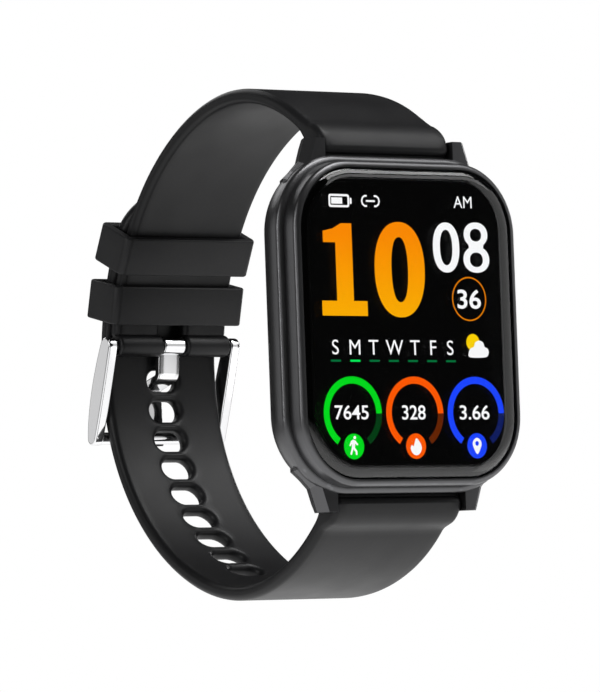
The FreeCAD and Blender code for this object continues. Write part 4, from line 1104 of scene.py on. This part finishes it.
def bent_strap(name, outline, holes, line, outward, tree):
    """One strap half: its flat blank bent along its middle line."""
    path = guide_curve(name + "_line", [point * MM for point, _ in line], [half * MM for _, half in line])
    blank = flat_blank(name + "_blank", outline, holes)
    piece = tree.run(name, blank, Path=path, Outward=outward, Material=silicone)
    bpy.data.objects.remove(path)
    return even_out(piece)


def lathe_rod(name, centre, radius, start, end, rounding, material, steps=48):
    """A rod along X with rounded ends, from start to end, in millimetres."""
    end_steps = 5
    profile = [(start, radius - rounding)]
    for step in range(1, end_steps + 1):
        turn = math.radians(90 * step / end_steps)
        profile.append((start + rounding * (1 - math.cos(turn)), radius - rounding * (1 - math.sin(turn))))
    profile += [(start + end - x, size) for x, size in reversed(profile)]
    turns = [2 * math.pi * step / steps for step in range(steps)]
    loops = [[(centre + Vector((x, size * math.cos(turn), size * math.sin(turn)))) * MM for turn in turns]
             for x, size in profile]
    return stack_loops(name, loops, material)


def side_plate(name, outline, start, end, material, rounding):
    """A plate from a closed (y, z) outline, between two places along X, with rounded edges."""
    loops = [[Vector((x, y, z)) * MM for y, z in outline] for x in (start, end)]
    return round_edges(stack_loops(name, loops, material), rounding * MM)


def knuckle(name, bar, end):
    """The roll round the spring bar that shows, set back, between the lugs."""
    radius = 1.72
    web_half = 1.5
    web_reach = 1.9
    play = 0.05
    turns = [math.radians(turn) for turn in range(150, 391, 8)]
    roll = [(bar.y + radius * math.cos(turn), bar.z + end * radius * math.sin(turn)) for turn in turns]
    web = [(bar.y + side * web_half, bar.z + web_reach * end) for side in (1, -1)]
    return side_plate(name, roll + web, -HALF_ROOT + play, HALF_ROOT - play, silicone, 0.4)


bend = bend_tree()
lug_bars = {name: sum(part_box(name), Vector()) / 2 / MM for name in ("upper_bar_tube", "lower_bar_tube")}

upper_line = middle_line(UPPER_CHAIN, UPPER_ROOT)
upper_outline = notch_outline(upper_line, measure(upper_line))
upper_pieces = [bent_strap("strap_upper_band", upper_outline, [], upper_line, -1.0, bend),
                knuckle("strap_upper_knuckle", lug_bars["upper_bar_tube"], 1)]
for name, start, end in (("left", -HALF_END, -NOTCH_HALF), ("right", NOTCH_HALF, HALF_END)):
    upper_pieces.append(lathe_rod("strap_roll_" + name, PIN_CENTRE, 1.55, start, end, 0.45, silicone))
install(join_pieces("strap_upper_silicone", upper_pieces), "upper_strap", "strap_silicone", "strap_upper")

lower_line = middle_line(LOWER_CHAIN, LOWER_ROOT)
lower_outline = tail_outline(lower_line, measure(lower_line))
first_hole = math.radians(TAIL_ANGLE + 1.9) * LOWER_MIDDLE
lower_holes = [pill(first_hole + 4.4 * index) for index in range(9)]
lower_pieces = [bent_strap("strap_lower_band", lower_outline, lower_holes, lower_line, 1.0, bend),
                knuckle("strap_lower_knuckle", lug_bars["lower_bar_tube"], -1)]
install(join_pieces("strap_lower_silicone", lower_pieces), "lower_strap", "strap_silicone", "strap_lower")


# --- Keepers ---------------------------------------------------------------------------------


def keeper_tree():
    """A loop of flat band round the strap, turned to its place on the wrist circle."""
    tree = Tree("keeper_loop", [("Width", "Float"), ("Depth", "Float"), ("Corner", "Float"),
                                ("Wall", "Float"), ("Length", "Float"), ("Edge", "Float"),
                                ("Radius", "Float"), ("Turn", "Float"), ("Centre", "Vector"),
                                ("Material", "Material")])
    wide = tree.math("SUBTRACT", tree.inputs["Width"], tree.inputs["Wall"])
    deep = tree.math("SUBTRACT", tree.inputs["Depth"], tree.inputs["Wall"])
    loop = tree.rounded(tree.rectangle(wide, deep), tree.inputs["Corner"], 6)
    band = tree.rounded(tree.rectangle(tree.inputs["Wall"], tree.inputs["Length"]), tree.inputs["Edge"], 3)
    swept = tree.node("GeometryNodeCurveToMesh", Curve=loop, Profile_Curve=band).outputs[0]
    out = tree.node("ShaderNodeCombineXYZ", Y=tree.inputs["Radius"]).outputs[0]
    swept = tree.node("GeometryNodeTransform", Geometry=swept, Translation=out).outputs[0]
    turn = tree.node("ShaderNodeCombineXYZ", X=tree.inputs["Turn"]).outputs[0]
    placed = tree.node("GeometryNodeTransform", Geometry=swept, Rotation=turn,
                       Translation=tree.inputs["Centre"])
    tree.end(placed.outputs[0])
    return tree


keepers = keeper_tree()
for name, angle in (("keeper_upper", 24.9), ("keeper_lower", 13.9)):
    piece = keepers.run(name + "_band", seed_mesh("keeper_seed"), Width=22.6 * MM, Depth=7.1 * MM,
                        Corner=0.45 * MM, Wall=1.3 * MM, Length=5.4 * MM, Edge=0.28 * MM,
                        Radius=40.0 * MM, Turn=math.radians(angle), Centre=WRIST_CENTRE * MM,
                        Material=keeper_silicone)
    piece = even_out(piece)
    piece.data.set_sharp_from_angle(angle=math.radians(30))
    install(piece, name, "keeper_silicone", name)


# --- Buckle ----------------------------------------------------------------------------------

pin_to_bar = math.radians(TAIL_ANGLE - PIN_ANGLE) * LOWER_MIDDLE + 12.6
bar_point, bar_outward = chain_point(LOWER_CHAIN, pin_to_bar)
# the bar stands off the strap by a gap of 0.2 and about its own radius
BAR_CENTRE = bar_point + bar_outward * (BAND / 2 + 0.2 + 0.8)
ARM_MIDDLE = (PIN_CENTRE + BAR_CENTRE) * 0.5 + Vector((0, 0.45, -0.5))


def arm_outline(places, radii, steps=24):
    """The outline of a bowed bar whose half width changes from eye to foot."""
    knee = 2 * places[1] - (places[0] + places[2]) / 2
    waist = 2 * radii[1] - (radii[0] + radii[2]) / 2
    sides = ([], [])
    for step in range(steps + 1):
        share = step / steps
        weights = ((1 - share) ** 2, 2 * share * (1 - share), share ** 2)
        point = places[0] * weights[0] + knee * weights[1] + places[2] * weights[2]
        half = radii[0] * weights[0] + waist * weights[1] + radii[2] * weights[2]
        run = (knee - places[0]) * (1 - share) + (places[2] - knee) * share
        normal = Vector((0, -run.z, run.y)).normalized()
        for side, sign in zip(sides, (1, -1)):
            side.append(point + normal * (half * sign))
    caps = []
    for centre, start in ((places[2], sides[0][-1]), (places[0], sides[1][0])):
        arm = start - centre
        heading = math.degrees(math.atan2(arm.z, arm.y))
        caps.append([on_circle(centre, arm.length, heading - 180 * step / 12) for step in range(1, 12)])
    outline = sides[0] + caps[0] + sides[1][::-1] + caps[1]
    return [(point.y, point.z) for point in outline]


def buckle():
    """Two bowed arms and the round cross bar between their feet."""
    outline = arm_outline((PIN_CENTRE, ARM_MIDDLE, BAR_CENTRE), (1.12, 1.4, 0.95))
    arm_outer = 11.5
    arm_inner = 9.95
    pieces = [side_plate("buckle_arm_left", outline, -arm_outer, -arm_inner, polished_steel, 0.28),
              side_plate("buckle_arm_right", outline, arm_inner, arm_outer, polished_steel, 0.28),
              lathe_rod("buckle_cross_bar", BAR_CENTRE, 0.85, -11.3, 11.3, 0.3, polished_steel)]
    install(join_pieces("buckle_steel_frame", pieces), "buckle_frame", "buckle_steel", "buckle_frame")


def tongue_tree():
    """A flat bar swept along its path, with every bend rounded."""
    tree = Tree("tongue_sweep", [("Width", "Float"), ("Thickness", "Float"), ("Edge", "Float"),
                                 ("Bend", "Float"), ("Material", "Material")], takes_geometry=True)
    path = tree.rounded(tree.inputs["Geometry"], tree.inputs["Bend"], 8)
    path = tree.node("GeometryNodeSetCurveNormal", {"mode": "FREE"}, Curve=path, Normal=(1, 0, 0)).outputs[0]
    bar = tree.rectangle(tree.inputs["Width"], tree.inputs["Thickness"])
    bar = tree.rounded(bar, tree.inputs["Edge"], 3)
    swept = tree.node("GeometryNodeCurveToMesh", Curve=path, Profile_Curve=bar, Fill_Caps=True)
    tree.end(swept.outputs[0])
    return tree


def tongue():
    """The cranked tongue: an eye round the pin, a step through the hole, a tip on the bar."""
    hole, outward = chain_point(LOWER_CHAIN, first_hole)
    down = Vector((0, outward.z, -outward.y))
    points = [Vector((0, PIN_CENTRE.y + 0.75, PIN_CENTRE.z)), hole - outward * 1.96 - down * 0.4,
              hole + outward * 2.35 + down * 0.8, BAR_CENTRE + outward * 1.33 + down * 1.0]
    path = guide_curve("tongue_line", [point * MM for point in points])
    blade = tongue_tree().run("tongue_blade", path, Width=3.6 * MM, Thickness=1.0 * MM, Edge=0.22 * MM,
                              Bend=0.9 * MM, Material=polished_steel)
    blade = even_out(blade)
    eye = lathe_rod("tongue_eye", PIN_CENTRE, 1.25, -1.8, 1.8, 0.2, polished_steel)
    install(join_pieces("buckle_steel_tongue", [blade, eye]), "buckle_tongue", "buckle_steel",
            "buckle_tongue")


buckle()
tongue()


# --- Floor, lights and camera ----------------------------------------------------------------


def floor():
    """A plain pale floor well below the watch, which stands free above it, with a painted glow that only
    reflections see.
    """
    level = cad_box[0][2] - 0.04
    reach = 6.0
    # painted glow: the pool that only reflections see is at full strength out to the first distance and gone
    # by the second
    painted_glow_start = 0.08
    painted_glow_end = 0.45
    data = bpy.data.meshes.new("floor")
    data.from_pydata([(-reach, -reach, level), (reach, -reach, level), (reach, reach, level),
                      (-reach, reach, level)], [], [(0, 1, 2, 3)])
    material, tree, shader = new_material("floor_pale", Base_Color=(0.3, 0.3, 0.3, 1), Roughness=0.9)
    where = tree.nodes.new("ShaderNodeTexCoord").outputs["Object"]
    length = tree.nodes.new("ShaderNodeVectorMath")
    length.operation = "LENGTH"
    tree.links.new(where, length.inputs[0])
    fade = tree.nodes.new("ShaderNodeMapRange")
    for label, value in (("From Min", painted_glow_start), ("From Max", painted_glow_end), ("To Min", 1.0), ("To Max", 0.0)):
        fade.inputs[label].default_value = value
    tree.links.new(length.outputs["Value"], fade.inputs["Value"])
    # the floor shows evenly white to the camera; to glossy rays it is a painted glow, a white pool that fades
    # outwards and shows as a painted reflection in the steel and glass
    paths = tree.nodes.new("ShaderNodeLightPath").outputs
    surface = shader.outputs[0]
    for seen, strength in (("Is Camera Ray", 1.0), ("Is Glossy Ray", fade.outputs[0])):
        glow = tree.nodes.new("ShaderNodeEmission")
        tree.links.new(math_node(tree, "MULTIPLY", paths[seen], strength), glow.inputs["Strength"])
        total = tree.nodes.new("ShaderNodeAddShader")
        tree.links.new(surface, total.inputs[0])
        tree.links.new(glow.outputs[0], total.inputs[1])
        surface = total.outputs[0]
    tree.links.new(surface, tree.nodes["Material Output"].inputs["Surface"])
    add_object("floor", data, material)


def soft_light(name, azimuth, elevation, distance, width, height, power):
    """An area light that faces the watch from a direction given in degrees."""
    data = bpy.data.lights.new(name, "AREA")
    data.shape = "RECTANGLE"
    data.size = width
    data.size_y = height
    data.energy = power
    item = add_object(name, data)
    around = math.radians(azimuth)
    up = math.radians(elevation)
    away = Vector((math.sin(around) * math.cos(up), -math.cos(around) * math.cos(up), math.sin(up)))
    item.location = away * distance
    item.rotation_euler = away.to_track_quat("Z", "Y").to_euler()
    item.visible_camera = False


def white_room():
    """A white surround that shows bright behind the watch and lights it only gently."""
    world = bpy.data.worlds.new("white_room")
    scene.world = world
    world.use_nodes = True
    tree = world.node_tree
    tree.nodes.clear()
    output = tree.nodes.new("ShaderNodeOutputWorld")
    mix = tree.nodes.new("ShaderNodeMixShader")
    seen = tree.nodes.new("ShaderNodeLightPath").outputs["Is Camera Ray"]
    tree.links.new(seen, mix.inputs[0])
    for socket, strength in ((mix.inputs[1], 0.012), (mix.inputs[2], 1.0)):
        light = tree.nodes.new("ShaderNodeBackground")
        light.inputs["Color"].default_value = (1, 1, 1, 1)
        light.inputs["Strength"].default_value = strength
        tree.links.new(light.outputs[0], socket)
    tree.links.new(mix.outputs[0], output.inputs[0])


def camera():
    """A long lens, well round to the left of the face and a little below it."""
    yaw = -0.6786
    pitch = -0.05776
    roll = -0.03705
    distance = 0.8331
    aim_left = 0.0094
    aim_down = 0.00273
    back = Vector((math.sin(yaw) * math.cos(pitch), -math.cos(yaw) * math.cos(pitch), math.sin(pitch)))
    level = Vector((0, 0, 1)).cross(back).normalized()
    upright = back.cross(level)
    right = math.cos(roll) * level + math.sin(roll) * upright
    up = right.cross(-back)
    ahead = (-back - right * aim_left - up * aim_down).normalized()
    right = ahead.cross(up).normalized()
    up = right.cross(ahead)
    data = bpy.data.cameras.new("camera")
    data.sensor_fit = "HORIZONTAL"
    data.sensor_width = 36.0
    data.lens = 370.73
    data.clip_start = 0.01
    data.clip_end = 50.0
    item = add_object("camera", data)
    turn = Matrix((right, up, -ahead)).transposed().to_4x4()
    item.matrix_world = Matrix.Translation(back * distance) @ turn
    scene.camera = item


# name, azimuth, elevation, distance, width, height and power
LIGHTS = (("left_panel", -88, 14, 0.8, 0.2, 0.5, 1.3),
          ("front_fill", -58, 6, 0.9, 0.3, 0.5, 0.35),
          ("behind_left", -141, 4, 0.8, 0.45, 0.4, 0.38),
          ("top_low", 45, 25, 0.8, 0.5, 0.12, 0.25),
          ("top_middle", 45, 40, 0.8, 0.5, 0.2, 1.1),
          ("top_high", 40, 65, 0.8, 0.5, 0.4, 4.0),
          ("right_strip", 112, 5, 0.8, 0.12, 0.6, 1.2),
          ("back_panel", 175, 35, 0.9, 0.6, 0.4, 1.2),
          ("buckle_card", 61.8, -2, 0.064, 0.04, 0.08, 0.006))

floor()
white_room()
for light in LIGHTS:
    soft_light(*light)
scene.view_settings.view_transform = "Standard"
camera()
